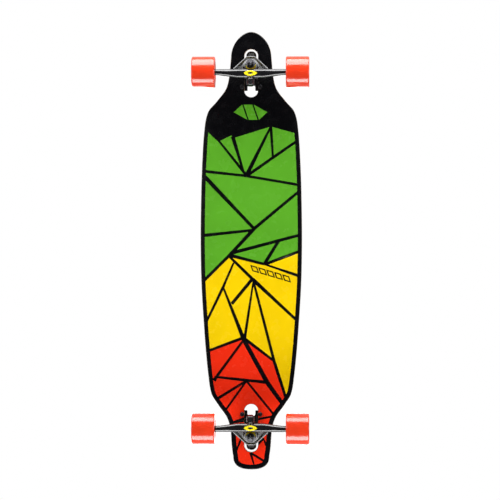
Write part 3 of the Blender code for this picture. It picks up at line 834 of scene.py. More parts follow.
@dataclass(frozen=True)
class PanelArt:
    """The underside's print: coloured panes parted by black seams on a black ground.

    Points are (x, y) on the board, x across it and y towards the nose.
    """

    seams: tuple[Seam, ...] = (
        Seam((0.1014, 0.2741), (0.0725, 0.2475), 0.0035, 0.0050),
        Seam((0.0725, 0.2475), (0.0115, 0.1710), 0.0050, 0.0065),
        Seam((0.0420, 0.2585), (0.0165, 0.1750), 0.0090, 0.0050),
        Seam((-0.0445, 0.2805), (0.0100, 0.1710), 0.0050, 0.0095),
        Seam((-0.0445, 0.2805), (-0.0490, 0.2125), 0.0065, 0.0050),
        Seam((-0.1034, 0.2479), (0.0100, 0.1690), 0.0060, 0.0070),
        Seam((0.1110, 0.1802), (0.0120, 0.1690), 0.0065, 0.0060),
        Seam((0.0120, 0.1690), (-0.1109, 0.1480), 0.0060, 0.0060),
        Seam((0.1091, 0.1714), (-0.0065, 0.0495), 0.0095, 0.0070),
        Seam((-0.1096, 0.1353), (-0.0065, 0.0495), 0.0060, 0.0075),
        Seam((-0.0065, 0.0495), (0.0490, -0.0105), 0.0085, 0.0075),
        Seam((0.0490, -0.0105), (0.1093, -0.0702), 0.0070, 0.0070),
        Seam((0.1130, 0.0339), (-0.0065, 0.0465), 0.0075, 0.0060),
        Seam((0.0480, -0.0065), (-0.1108, 0.0355), 0.0080, 0.0065),
        Seam((-0.0620, 0.0220), (-0.0290, -0.0315), 0.0070, 0.0080),
        Seam((0.0490, -0.0105), (-0.0310, -0.0310), 0.0080, 0.0060),
        Seam((-0.0310, -0.0310), (-0.1096, -0.0014), 0.0070, 0.0065),
        Seam((-0.0310, -0.0310), (-0.1097, -0.0579), 0.0040, 0.0070),
        Seam((0.0490, -0.0135), (-0.0035, -0.0650), 0.0060, 0.0075),
        Seam((-0.0035, -0.0650), (-0.1039, -0.1586), 0.0090, 0.0060),
        Seam((0.0395, -0.0270), (0.0635, -0.0825), 0.0045, 0.0060),
        Seam((0.0635, -0.0825), (0.1006, -0.1594), 0.0065, 0.0055),
        Seam((0.0635, -0.0825), (0.0180, -0.1980), 0.0045, 0.0095),
        Seam((-0.0035, -0.0630), (0.0440, -0.1205), 0.0075, 0.0075),
        Seam((-0.0050, -0.0690), (0.0150, -0.2000), 0.0040, 0.0070),
        Seam((-0.0050, -0.0690), (-0.0525, -0.2525), 0.0055, 0.0070),
        Seam((-0.0525, -0.2525), (-0.0785, -0.3330), 0.0075, 0.0065),
        Seam((0.1001, -0.2281), (0.0180, -0.1970), 0.0060, 0.0070),
        Seam((0.0180, -0.1970), (-0.0525, -0.2500), 0.0075, 0.0055),
        Seam((0.0185, -0.2040), (0.0795, -0.2865), 0.0055, 0.0065),
        Seam((0.0795, -0.2865), (0.0845, -0.2945), 0.0075, 0.0100),
        Seam((0.0180, -0.1995), (-0.0365, -0.2985), 0.0095, 0.0105),
        Seam((-0.0365, -0.2985), (-0.0700, -0.3450), 0.0105, 0.0090),
        Seam((0.0785, -0.2860), (-0.0365, -0.2980), 0.0055, 0.0075),
        Seam((0.0130, -0.2955), (0.0790, -0.3367), 0.0055, 0.0070),
        Seam((0.0115, -0.2955), (0.0578, -0.3605), 0.0050, 0.0050),
        Seam((0.0100, -0.2955), (-0.0530, -0.3730), 0.0050, 0.0050),
        Seam((-0.0155, -0.3810), (-0.0515, -0.3740), 0.0055, 0.0045),
        Seam((0.0505, -0.3910), (0.0120, -0.3810), 0.0035, 0.0115),
        Seam((0.0230, -0.4250), (0.0350, -0.4572), 0.0055, 0.0035),
        Seam((-0.0270, -0.4240), (-0.0380, -0.4477), 0.0035, 0.0065),
        Seam((-0.0130, -0.4405), (-0.0280, -0.4245), 0.0055, 0.0045),
        Seam((0.0015, -0.4570), (-0.0365, -0.4805), 0.0050, 0.0055),
        Seam((0.0015, -0.4570), (-0.0070, -0.4865), 0.0060, 0.0030),
    )
    green_top: tuple[Point2, ...] = ((-0.1040, 0.2640), (-0.0445, 0.2805), (0.0365, 0.2555),
                                     (0.0460, 0.2600), (0.0725, 0.2475), (0.1070, 0.2785))
    yellow_top: tuple[Point2, ...] = ((-0.1245, 0.0045), (-0.0310, -0.0310),
                                      (0.0490, -0.0105), (0.1250, -0.0865))
    red_top: tuple[Point2, ...] = ((-0.0880, -0.3615), (-0.0780, -0.3305),
                                   (-0.0525, -0.2510), (0.0180, -0.1970), (0.1160, -0.2345))
    middle_margin: float = 0.0098
    tail_margin: float = 0.0112
    tail_margin_start: float = -0.330
    tail_margin_full: float = -0.430
    badge_centre: Point2 = (0.0015, 0.3130)
    badge_half: Point2 = (0.0380, 0.0172)
    badge_gap: float = 0.0032
    bar_start: Point2 = (0.0010, -0.0390)
    bar_end: Point2 = (-0.0890, -0.0655)
    bar_height: float = 0.0125
    bar_line: float = 0.0028
    bar_blocks: int = 5

    def margin(self, y: float) -> float:
        """Width of the black border at a place along the board.

        Args:
            y: the place.

        Returns:
            The border's width.
        """
        share = (self.tail_margin_start - y) / (self.tail_margin_start - self.tail_margin_full)
        share = min(1.0, max(0.0, share))
        return self.middle_margin + (self.tail_margin - self.middle_margin) * share

    def badge(self) -> list[list[Point2]]:
        """Three slanted facets of a flat lozenge.

        Returns:
            The facets' outlines.
        """
        (cx, cy), (hx, hy) = self.badge_centre, self.badge_half
        cut = hx * 0.30
        lean = hy * 0.35
        gap = self.badge_gap / 2
        left = [(-hx, 0.0), (-cut - gap - lean, -hy), (-cut - gap + lean, hy)]
        middle = [(-cut + gap - lean, -hy), (cut - gap - lean, -hy), (cut - gap + lean, hy),
                  (-cut + gap + lean, hy)]
        right = [(cut + gap - lean, -hy), (hx, 0.0), (cut + gap + lean, hy)]
        return [[(cx + x, cy + y) for x, y in facet] for facet in (left, middle, right)]

    def bar(self) -> tuple[list[list[Point2]], list[list[Point2]]]:
        """A slanted row of plain outlined blocks.

        Returns:
            The blocks' black outlines, and the coloured insides.
        """
        start, end = Vector(self.bar_start), Vector(self.bar_end)
        along = (end - start) / self.bar_blocks
        unit = along.normalized()
        up = Vector((-unit.y, unit.x))
        up = -up if up.y < 0 else up
        lean = unit * self.bar_height * 0.35
        outers, inners = [], []
        for block in range(self.bar_blocks):
            near = start + along * (block + 0.06)
            far = start + along * (block + 0.94)
            half = up * self.bar_height / 2
            corners = [near - half + lean, far - half + lean, far + half - lean,
                       near + half - lean]
            outline = [tuple(c) for c in corners]
            outers.append(outline)
            inners.append(inset_loop(outline, self.bar_line))
        return outers, inners

    def finish_at(self, point: Point2, border: Sequence[Point2]) -> Palette:
        """The finish printed at a point.

        Args:
            point: the point.
            border: the inner edge of the black border.

        Returns:
            The finish.
        """
        x, y = point
        if any(inside(point, facet) for facet in self.badge()):
            return Palette.GREEN
        if not inside(point, border) or y > curve_height(self.green_top, x):
            return Palette.BLACK
        if any(inside(point, seam.outline()) for seam in self.seams):
            return Palette.BLACK
        outers, inners = self.bar()
        if any(inside(point, outline) for outline in outers):
            if not any(inside(point, outline) for outline in inners):
                return Palette.BLACK
        if y > curve_height(self.yellow_top, x):
            return Palette.GREEN
        return Palette.YELLOW if y > curve_height(self.red_top, x) else Palette.RED


@dataclass
class Deck:
    """Pressed maple deck with its printed underside, cut-outs and bolt holes."""

    length: float = 0.990
    thickness: float = 0.011
    concave_rise: float = 0.006
    concave_flat: float = 0.055
    widest: float = 0.1150
    nose_arc: Corner = (0.055, 0.0455, 1.8)
    tail_arc: Corner = (0.030, 0.0408, 2.5)
    nose_side: tuple[Point2, ...] = ((0.100, 0.0497), (0.125, 0.0553), (0.158, 0.0785),
                                     (0.180, 0.0974), (0.205, 0.1044), (0.267, 0.1099),
                                     (0.365, 0.1137), (0.465, 0.1150))
    tail_side: tuple[Point2, ...] = ((0.451, 0.1141), (0.315, 0.1067), (0.199, 0.0958),
                                     (0.172, 0.0907), (0.145, 0.0742), (0.115, 0.0537),
                                     (0.090, 0.0467), (0.060, 0.0446),
                                     (0.043, 0.0430))
    lower_edge: float = 0.0022
    upper_edge: float = 0.0014
    plies: int = 8
    cutout_edge: float = 0.0006
    cutout: tuple[float, float, float] = (0.0578, 0.0510, 0.031)
    bolts_x: float = 0.0413
    bolts_y: tuple[float, float] = (0.0258, -0.0280)
    bolt_hole: float = 0.00275
    step: float = 0.006
    grid: float = 0.0095
    rim_room: float = 0.0025
    hole_room: float = 0.0022
    weld_reach: float = 0.00002
    art: PanelArt = field(default_factory=PanelArt)

    def concave(self, x: float) -> float:
        """How far the board curls up at a distance from its middle line.

        Args:
            x: the distance.

        Returns:
            The rise.
        """
        t = (abs(x) - self.concave_flat) / (self.widest - self.concave_flat)
        return self.concave_rise * min(1.0, max(0.0, t)) ** 2

    def slope(self, x: float) -> float:
        """Slope of the board's curl at a distance from its middle line.

        Args:
            x: the distance, signed.

        Returns:
            Rise per metre, signed like x.
        """
        span = self.widest - self.concave_flat
        t = min(1.0, max(0.0, (abs(x) - self.concave_flat) / span))
        return math.copysign(2 * self.concave_rise * t / span, x)

    def end_curve(self, arc: Corner, steps: int = 40) -> list[Point2]:
        """(distance from the end, half-width) round an end, tip first.

        Args:
            arc: the end's length, half-width and power.
            steps: how many chords.

        Returns:
            The points.
        """
        length, half_width, power = arc
        angles = [math.pi / 2 * step / steps for step in range(steps + 1)]
        return [(length * (1 - max(0.0, math.cos(a)) ** (2 / power)),
                 half_width * math.sin(a) ** (2 / power)) for a in angles]

    def outline(self) -> list[Point2]:
        """The deck's outline, anticlockwise, with its points evenly spaced.

        Returns:
            The points.
        """
        half = self.length / 2
        nose = self.end_curve(self.nose_arc)
        tail = self.end_curve(self.tail_arc)
        knots = [(-half + s, w) for s, w in (tail[-1], *reversed(self.tail_side))]
        knots += [(half - s, w) for s, w in (*reversed(self.nose_side), nose[-1])]
        first, last = knots[0][0], knots[-1][0]
        count = 220
        side = [first + (last - first) * i / count for i in range(1, count)]
        right = [(w, -half + s) for s, w in tail]
        right += [(smooth_curve(knots, y), y) for y in side]
        right += [(w, half - s) for s, w in reversed(nose)]
        dense = right + [(-x, y) for x, y in reversed(right[1:-1])]
        return self.even(dense)

    def even(self, dense: Sequence[Point2]) -> list[Point2]:
        """A closed path's points, evenly spaced along it.

        Args:
            dense: the path.

        Returns:
            The new points.
        """
        closed = [*dense, dense[0]]
        lengths = [0.0]
        for a, b in zip(closed, closed[1:]):
            lengths.append(lengths[-1] + math.dist(a, b))
        count = round(lengths[-1] / self.step)
        points, index = [], 0
        for i in range(count):
            goal = lengths[-1] * i / count
            while lengths[index + 1] < goal:
                index += 1
            share = (goal - lengths[index]) / max(1e-9, lengths[index + 1] - lengths[index])
            a, b = closed[index], closed[index + 1]
            points.append((a[0] + (b[0] - a[0]) * share, a[1] + (b[1] - a[1]) * share))
        return points

    def openings(self, trucks: Sequence[Matrix]) -> tuple[list[list[Point2]], list[list[Point2]]]:
        """The cut-outs and the bolt holes for both trucks.

        Args:
            trucks: where each truck stands.

        Returns:
            The cut-outs' outlines, and the bolt holes'.
        """
        outboard, inboard, width = self.cutout
        half = width / 2
        slot = rounded_path(((half, -inboard, half), (half, outboard, half),
                             (-half, outboard, half), (-half, -inboard, half)), True, 14)
        slots, holes = [], []
        for truck in trucks:
            slots.append([tuple((truck @ Vector((x, y, 0.0)))[:2]) for x, y in slot])
            for side in (-1, 1):
                for y in self.bolts_y:
                    cx, cy = (truck @ Vector((side * self.bolts_x / 2, y, 0.0)))[:2]
                    holes.append([(cx + x, cy + dy) for x, dy in circle(self.bolt_hole, 20)])
        return slots, holes

    def skin(self, outer: Sequence[Point2], holes: Sequence[Sequence[Point2]],
             seams: Sequence[Sequence[Point2]], grid: float
             ) -> tuple[list[Point2], list[tuple[int, ...]]]:
        """Triangles that fill an outline round its holes and keep every seam as an edge.

        Args:
            outer: the outline.
            holes: the holes' outlines.
            seams: closed outlines whose edges are kept.
            grid: spacing of the extra points in between.

        Returns:
            The points and the triangles.
        """
        points: list[Vector] = []
        edges: list[tuple[int, int]] = []
        for loop in (outer, *holes, *seams):
            start = len(points)
            points += [Vector(p) for p in loop]
            edges += [(start + i, start + (i + 1) % len(loop)) for i in range(len(loop))]
        shrunk = inset_loop(outer, self.rim_room)
        grown = [inset_loop(hole, -self.hole_room) for hole in holes]
        rows = math.ceil(self.length / grid)
        columns = math.ceil(2 * self.widest / grid)
        for row in range(rows + 1):
            for column in range(columns + 1):
                spot = ((column - columns / 2 + 0.25 * (row % 2)) * grid,
                        (row - rows / 2) * grid)
                if inside(spot, shrunk) and not any(inside(spot, hole) for hole in grown):
                    points.append(Vector(spot))
        found, _, faces, *_ = delaunay_2d_cdt(points, edges, [], 0, 1e-6)
        flat = [tuple(p) for p in found]
        kept = []
        for face in faces:
            middle = (sum(flat[i][0] for i in face) / len(face),
                      sum(flat[i][1] for i in face) / len(face))
            if inside(middle, outer) and not any(inside(middle, hole) for hole in holes):
                kept.append(tuple(face))
        return flat, kept

    def wall(self, shape: Shape, loop: Sequence[Point2], levels: Sequence[Point2],
             finishes: Callable[[int], Palette]) -> None:
        """Wall round a loop that follows the board's curl.

        Args:
            shape: the shape that it joins.
            loop: the outline.
            levels: (inset, height) of each ring of the wall, from the bottom up.
            finishes: gives each band's finish.
        """
        rings = [[(x, y, height + self.concave(x)) for x, y in inset_loop(loop, inset)]
                 for inset, height in levels]
        shape.loops(rings, Palette.MAPLE, capped=False, band_finish=finishes)

    def edge_levels(self, low: float, high: float, bottom: float, top: float,
                    sense: float) -> list[Point2]:
        """(inset, height) of the rings of an edge rounded below and above.

        Args:
            low: height of the underside.
            high: height of the top.
            bottom: radius of the lower rounding.
            top: radius of the upper rounding.
            sense: 1 where the inset shrinks the loop and -1 where it grows.

        Returns:
            The levels, from the bottom up.
        """
        levels = []
        for step in range(5):
            angle = math.pi / 2 * step / 4
            levels.append((sense * bottom * (1 - math.sin(angle)),
                           low + bottom * (1 - math.cos(angle))))
        ply = (high - low) / self.plies
        for index in range(2, self.plies):
            height = low + ply * index
            if low + bottom * 1.1 < height < high - top * 1.1:
                levels.append((0.0, height))
        for step in range(5):
            angle = math.pi / 2 * step / 4
            levels.append((sense * top * (1 - math.cos(angle)),
                           high - top * (1 - math.sin(angle))))
        return levels

    def normals(self, mesh: Mesh, low: float, high: float) -> None:
        """Give the two faces of the deck the smooth normals of its pressed curve.

        Args:
            mesh: the deck's mesh.
            low: height of the underside at the middle.
            high: height of the top at the middle.
        """
        wanted = [tuple(corner.vector) for corner in mesh.corner_normals]
        for face in mesh.polygons:
            level = face.center.z - self.concave(face.center.x)
            if abs(face.normal.z) < 0.9 or min(abs(level - low), abs(level - high)) > 0.0004:
                continue
            sign = math.copysign(1.0, face.normal.z)
            for corner, vertex in zip(face.loop_indices, face.vertices):
                tilt = self.slope(mesh.vertices[vertex].co.x)
                wanted[corner] = tuple(Vector((-tilt * sign, 0.0, sign)).normalized())
        mesh.normals_split_custom_set(wanted)

    def build(self, trucks: Sequence[Matrix]) -> None:
        """Make the deck.

        Args:
            trucks: where each truck stands.
        """
        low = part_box("deck")[0].z
        high = low + self.thickness
        outline = self.outline()
        slots, holes = self.openings(trucks)
        under = inset_loop(outline, self.lower_edge)
        border = [self.border_point(p, q) for p, q in zip(outline, inset_loop(outline, 0.001))]
        outers, inners = self.art.bar()
        seams = [border, *(seam.outline() for seam in self.art.seams), *outers, *inners,
                 *self.art.badge(), *self.strips(), self.art.green_top, self.art.yellow_top,
                 self.art.red_top]
        face_slots = [inset_loop(slot, -self.cutout_edge) for slot in slots]
        shape = Shape()
        points, faces = self.skin(under, [*face_slots, *holes], seams, self.grid)
        start = len(shape.points)
        shape.points += [Vector((x, y, low + self.concave(x))) for x, y in points]
        for face in faces:
            middle = (sum(points[i][0] for i in face) / 3, sum(points[i][1] for i in face) / 3)
            shape.faces.append(tuple(start + i for i in face))
            shape.finishes.append(self.art.finish_at(middle, border))
        over = inset_loop(outline, self.upper_edge)
        points, faces = self.skin(over, [*face_slots, *holes], [], 2 * self.grid)
        shape.add([(x, y, high + self.concave(x)) for x, y in points], faces, Palette.MAPLE)
        levels = self.edge_levels(low, high, self.lower_edge, self.upper_edge, 1.0)
        self.wall(shape, outline, levels, self.rim_finish)
        levels = self.edge_levels(low, high, self.cutout_edge, self.cutout_edge, -1.0)
        for slot in slots:
            self.wall(shape, slot, levels, self.rim_finish)
        for hole in holes:
            self.wall(shape, hole, ((0.0, low), (0.0, high)), lambda band: Palette.MAPLE_CROSS)
        mesh = shape.mesh("longboard_deck", 40.0)
        self.weld(mesh)
        self.normals(mesh, low, high)
        add_piece("longboard_deck", mesh, "board", ("deck",))

    def border_point(self, point: Point2, inner: Point2) -> Point2:
        """A point of the outline moved in to the edge of the black border.

        Args:
            point: the outline's point.
            inner: the same point moved in by a millimetre.

        Returns:
            The border's point.
        """
        reach = self.art.margin(point[1]) * 1000
        return (point[0] + (inner[0] - point[0]) * reach, point[1] + (inner[1] - point[1]) * reach)

    def strips(self) -> list[list[Point2]]:
        """Thin marker loops along both edges of the flat strip, so that it stays flat.

        Returns:
            The loops.
        """
        reach = self.length / 2 - 0.150
        return [[(side * self.concave_flat, -reach), (side * self.concave_flat, reach),
                 (side * (self.concave_flat + 0.001), 0.0)] for side in (-1, 1)]

    def weld(self, mesh: Mesh) -> None:
        """Join points that lie together, so that the skins and walls close up."""
        bm = bmesh.new()
        bm.from_mesh(mesh)
        bmesh.ops.remove_doubles(bm, verts=bm.verts, dist=self.weld_reach)
        bmesh.ops.recalc_face_normals(bm, faces=bm.faces)
        bm.to_mesh(mesh)
        bm.free()

    @staticmethod
    def rim_finish(band: int) -> Palette:
        """Finish of a band of the rim, from the painted lower edge up through the plies."""
        if band < 3:
            return Palette.BLACK
        return Palette.MAPLE_CROSS if band % 3 == 1 else Palette.MAPLE


@dataclass
class GripTape:
    """Abrasive sheet on top of the deck, trimmed just inside its edge."""

    deck: Deck
    thickness: float = 0.001
    margin: float = 0.0015
    cutout_margin: float = 0.0008

    def build(self, trucks: Sequence[Matrix]) -> None:
        """Make the sheet.

        Args:
            trucks: where each truck stands.
        """
        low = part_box("grip_tape")[0].z
        high = low + self.thickness
        outline = inset_loop(self.deck.outline(), self.margin)
        slots, holes = self.deck.openings(trucks)
        slots = [inset_loop(slot, -self.cutout_margin) for slot in slots]
        shape = Shape()
        for level in (low, high):
            points, faces = self.deck.skin(outline, [*slots, *holes], [], self.deck.grid)
            shape.add([(x, y, level + self.deck.concave(x)) for x, y in points], faces,
                      Palette.GRIT)
        for loop in (outline, *slots, *holes):
            self.deck.wall(shape, loop, ((0.0, low), (0.0, high)), lambda band: Palette.GRIT)
        mesh = shape.mesh("grip_sheet", 40.0)
        self.deck.weld(mesh)
        self.deck.normals(mesh, low, high)
        add_piece("grip_sheet", mesh, "board", ("grip_tape",))


# ---------------------------------------------------------------- castings
@dataclass
class Casting:
    """A casting made by fusing rough solids, softening them, then machining its bores."""

    name: str
    voxel: float = 0.00075
    softness: int = 6
    sharp: float = 70.0
    rough: Shape = field(default_factory=Shape)
    cutters: list[Shape] = field(default_factory=list)

    def drill(self, radius: float, low: float, high: float, place: Matrix,
              segments: int = 48) -> None:
        """Machine a round bore.

        Args:
            radius: the bore's radius.
            low: where it starts along its axis.
            high: where it ends.
            place: matrix that takes Z to its axis.
            segments: sides round it.
        """
        tool = Shape()
        tool.lathe(((radius, low), (radius, high)), Palette.CASTING, place, segments)
        self.cutters.append(tool)

    def mesh(self) -> Mesh:
        """The finished casting.

        Returns:
            Its mesh.
        """
        blank = new_object(self.name + "_blank", self.rough.mesh(self.name + "_blank"))
        fuse = blank.modifiers.new("Fuse", "REMESH")
        fuse.mode = "VOXEL"
        fuse.voxel_size = self.voxel
        fuse.use_smooth_shade = True
        soften = blank.modifiers.new("Soften", "SMOOTH")
        soften.factor = 0.5
        soften.iterations = self.softness
        tools = []
        for number, shape in enumerate(self.cutters):
            tool = new_object(f"{self.name}_tool_{number}", shape.mesh("tool"))
            tools.append(tool)
            cut = blank.modifiers.new(f"Cut_{number}", "BOOLEAN")
            cut.operation = "DIFFERENCE"
            cut.solver = "EXACT"
            cut.object = tool
        bpy.context.view_layer.update()
        ready = blank.evaluated_get(bpy.context.evaluated_depsgraph_get())
        mesh = bpy.data.meshes.new_from_object(ready)
        mesh.name = self.name
        mesh.materials.clear()
        mesh.materials.append(Palette.CASTING.material)
        for face in mesh.polygons:
            face.material_index = 0
        for thing in (blank, *tools):
            bpy.data.objects.remove(thing)
        mesh.shade_smooth()
        mesh.set_sharp_from_angle(angle=math.radians(self.sharp))
        return mesh


@dataclass(frozen=True)
class SteeringGeometry:
    """Where a truck's kingpin and pivot lie, from the axle line: y outboard and z up."""

    pivot: Point3 = (0.0, -0.020, -0.005)
    ring_centre: Point3 = (0.0, 0.01415, 0.017)
    kingpin_tilt: float = 20.0
    pivot_tilt: float = 12.0

    @property
    def kingpin_down(self) -> Vector:
        """Direction from the kingpin's head to its nut."""
        tilt = math.radians(self.kingpin_tilt)
        return Vector((0.0, math.sin(tilt), -math.cos(tilt)))

    @property
    def pivot_out(self) -> Vector:
        """Direction out of the pivot cup."""
        tilt = math.radians(self.pivot_tilt)
        return Vector((0.0, math.cos(tilt), math.sin(tilt)))

    @property
    def down_kingpin(self) -> Matrix:
        """Matrix that takes Z down the kingpin from the middle of the hanger's ring."""
        return frame_along(Vector(self.ring_centre), self.kingpin_down)

    @property
    def out_of_pivot(self) -> Matrix:
        """Matrix that takes Z out of the pivot cup from the pivot's centre."""
        return frame_along(Vector(self.pivot), self.pivot_out)


ALONG_AXLE = Matrix.Rotation(math.pi / 2, 4, "Y")
SIDEWAYS = Matrix(((0, 0, 1, 0), (1, 0, 0, 0), (0, 1, 0, 0), (0, 0, 0, 1)))


@dataclass
class Truck:
    """One reverse-kingpin truck: baseplate, hanger, kingpin stack, axle and hardware.

    Its meshes are made once, about the middle of the axle, and placed at both ends.
    """

    steering: SteeringGeometry = field(default_factory=SteeringGeometry)
    flange_face: float = 0.062
    flange_thickness: float = 0.006
    flange_half_width: float = 0.028
    flange_edge: float = 0.008
    nose_outboard: float = 0.0544
    nose_half_width: float = 0.0115
    nose_rib_half_width: float = 0.0070
    nose_rib_short: float = 0.004
    notch_half_width: float = 0.0087
    notch_end: float = -0.024
    pedestal_half_width: float = 0.0085
    boss_radius: float = 0.0135
    cup_housing_radius: float = 0.0088
    cup_radius: float = 0.0068
    cup_mouth: float = 0.0045
    cup_depth: float = 0.0065
    cup_wall: float = 0.0048
    tip_radius: float = 0.0048
    kingpin_radius: float = 0.00475
    kingpin_head: Point2 = (0.0080, 0.006)
    kingpin_grip: float = 0.024
    kingpin_nut: Point2 = (0.0082, 0.008)
    kingpin_tail: float = 0.002
    kingpin_pitch: float = 0.00125
    washer: float = 0.002
    washer_lip: float = 0.0012
    board_washer_radius: float = 0.0125
    road_washer_radius: float = 0.0110
    bushing_radius: float = 0.0112
    bushing_rows: int = 8
    board_bushing: float = 0.015
    road_bushing: float = 0.013
    road_bushing_tip: float = 0.0095
    ring_radius: float = 0.0160
    ring_thickness: float = 0.010
    ring_recess: float = 0.0025
    ring_hole: float = 0.0080
    yoke_web: float = 0.0045
    yoke_rim: float = 0.0075
    yoke_tip: float = 0.0250
    yoke_tip_half: float = 0.0092
    yoke_foot_half: float = 0.0400
    beam_depth: float = 0.0100
    beam_height: float = 0.0090
    beam_offset: float = 0.0028
    beam_end_radius: float = 0.0070
    beam_straight: float = 0.025
    wheel_face: float = 0.079
    beam_end: float = 0.0913
    channel: float = 0.0016
    channel_end: float = 0.052
    channel_fade: float = 0.024
    axle_radius: float = 0.0040
    axle_nut: Point2 = (0.0073, 0.007)
    axle_nut_start: float = 0.1187
    axle_end: float = 0.1277
    axle_pitch: float = 0.00106
    speed_ring_radius: float = 0.0062
    speed_ring_half: float = 0.0005
    bolts_x: float = 0.0413
    bolts_y: tuple[float, float] = (-0.0280, 0.0258)
    bolt_radius: float = 0.0024
    bolt_hole: float = 0.00275
    bolt_pitch: float = 0.0008
    bolt_socket: Point2 = (0.0016, 0.0016)
    bolt_head: Point2 = (0.0045, 0.0028)
    bolt_nut: Point2 = (0.0053, 0.0055)
    bolt_tail: float = 0.0015
    deck_bottom: float = 0.0494
    mark_half: Point2 = (0.0146, 0.0066)
    mark_offset: float = -0.0026

    @property
    def web(self) -> float:
        """Half the metal between the two recesses of the hanger's ring."""
        return self.ring_thickness / 2 - self.ring_recess

    @property
    def seat(self) -> float:
        """Distance from the ring's middle up to the baseplate's bushing seat."""
        return self.web + self.board_bushing + self.washer + 3 * GAP

    @property
    def nut_start(self) -> float:
        """Distance from the ring's middle down to the kingpin nut."""
        return self.web + self.road_bushing + self.washer + 3 * GAP

    def baseplate_mesh(self) -> Mesh:
        """Flange, body, bushing seat and cup housing, cast in one.

        Returns:
            The mesh.
        """
        cast = Casting("truck_baseplate")
        low_y = self.bolts_y[0] - self.flange_edge
        high_y = self.bolts_y[1] + self.flange_edge
        top = self.flange_face + self.flange_thickness
        edge = self.flange_edge
        right = ((self.notch_half_width, self.notch_end, 0.004),
                 (self.notch_half_width, low_y, 0.002),
                 (self.flange_half_width, low_y, edge), (self.flange_half_width, high_y, edge),
                 (self.nose_half_width, high_y, 0.003),
                 (self.nose_half_width, self.nose_outboard, 0.0105))
        left = tuple((-x, y, r) for x, y, r in reversed(right))
        cast.rough.prism(rounded_path(right + left, True, 8), self.flange_face, top,
                         Palette.CASTING, edge=0.0008)
        sink = top - self.flange_thickness / 3
        steering = self.steering
        pivot = Vector(steering.pivot)
        seat = Vector(steering.ring_centre) - steering.kingpin_down * self.seat
        housing_end = -(self.cup_depth + self.cup_wall)
        back = (pivot + steering.pivot_out * housing_end).y
        knee = pivot.y + self.cup_mouth
        body = ((self.notch_end - 0.0006, sink), (back + 0.0004, pivot.z + 0.003),
                (knee - 0.002, pivot.z + 0.006), (knee + 0.001, pivot.z + 0.011),
                (knee + 0.005, pivot.z + 0.023), (seat.y - 0.013, seat.z),
                (seat.y, seat.z + 0.004), (seat.y, sink))
        cast.rough.prism(body, -self.pedestal_half_width, self.pedestal_half_width,
                         Palette.CASTING, SIDEWAYS, 0.0012)
        rib_end = self.nose_outboard - self.nose_rib_short
        nose = ((seat.y - 0.002, sink), (seat.y - 0.002, seat.z + 0.007),
                (seat.y + 0.012, seat.z + 0.0055),
                (rib_end - 0.0077, self.deck_bottom + 0.003),
                (rib_end, self.flange_face + 0.001), (rib_end, sink))
        half = self.nose_rib_half_width
        cast.rough.prism(nose, -half, half, Palette.CASTING, SIDEWAYS, 0.0018)
        down = steering.down_kingpin
        boss_top = (sink - seat.z) / math.cos(math.radians(steering.kingpin_tilt)) - 0.005
        cast.rough.lathe(rounded_path(((0.002, -self.seat - boss_top, 0.0),
                                       (self.boss_radius, -self.seat - boss_top, 0.001),
                                       (self.boss_radius, -self.seat, 0.0012),
                                       (0.002, -self.seat, 0.0))), Palette.CASTING, down)
        out = steering.out_of_pivot
        cast.rough.lathe(rounded_path(((0.002, housing_end, 0.0),
                                       (self.cup_housing_radius, housing_end, 0.0025),
                                       (self.cup_housing_radius, self.cup_mouth, 0.0012),
                                       (0.002, self.cup_mouth, 0.0))), Palette.CASTING, out)
        head_start = -(self.seat + self.kingpin_grip - GAP)
        cast.drill(self.kingpin_radius + GAP, -0.060, 0.010, down)
        cast.drill(self.kingpin_head[0] + GAP, -0.070, head_start, down)
        cast.drill(self.cup_radius + GAP, -(self.cup_depth + GAP), 0.020, out)
        for x in (-self.bolts_x / 2, self.bolts_x / 2):
            for y in self.bolts_y:
                spot = Matrix.Translation((x, y, 0.0))
                cast.drill(self.bolt_hole, self.flange_face - 0.004, top + 0.004, spot, 32)
        return cast.mesh()

    def beam(self, shape: Shape) -> None:
        """Axle beam: a full section with a shallow channel below, rounder at its ends.

        Args:
            shape: the shape that it joins.
        """
        mid = (self.wheel_face + self.beam_straight) / 2
        knots = ((0.0, 1.0), (self.beam_straight, 1.0), (mid, 0.45), (self.wheel_face, 0.0),
                 (self.beam_end, 0.0))
        count = 72
        stations = [self.beam_end * (2 * i / count - 1) for i in range(count + 1)]
        rings = []
        for x in stations:
            share = smooth_curve(knots, abs(x))
            fade = min(1.0, max(0.0, (self.channel_end - abs(x)) / self.channel_fade))
            depth = self.beam_end_radius + (self.beam_depth - self.beam_end_radius) * share
            height = self.beam_end_radius + (self.beam_height - self.beam_end_radius) * share
            middle = -self.beam_offset * share
            ring = []
            for i in range(64):
                angle = TAU * i / 64
                below = math.exp(-((math.degrees(angle) - 270.0) / 26.0) ** 2)
                shrink = 1.0 - self.channel * fade * below / height
                ring.append((x, middle + depth * math.cos(angle),
                             height * math.sin(angle) * shrink))
            rings.append(ring)
        shape.loops(rings, Palette.CASTING)

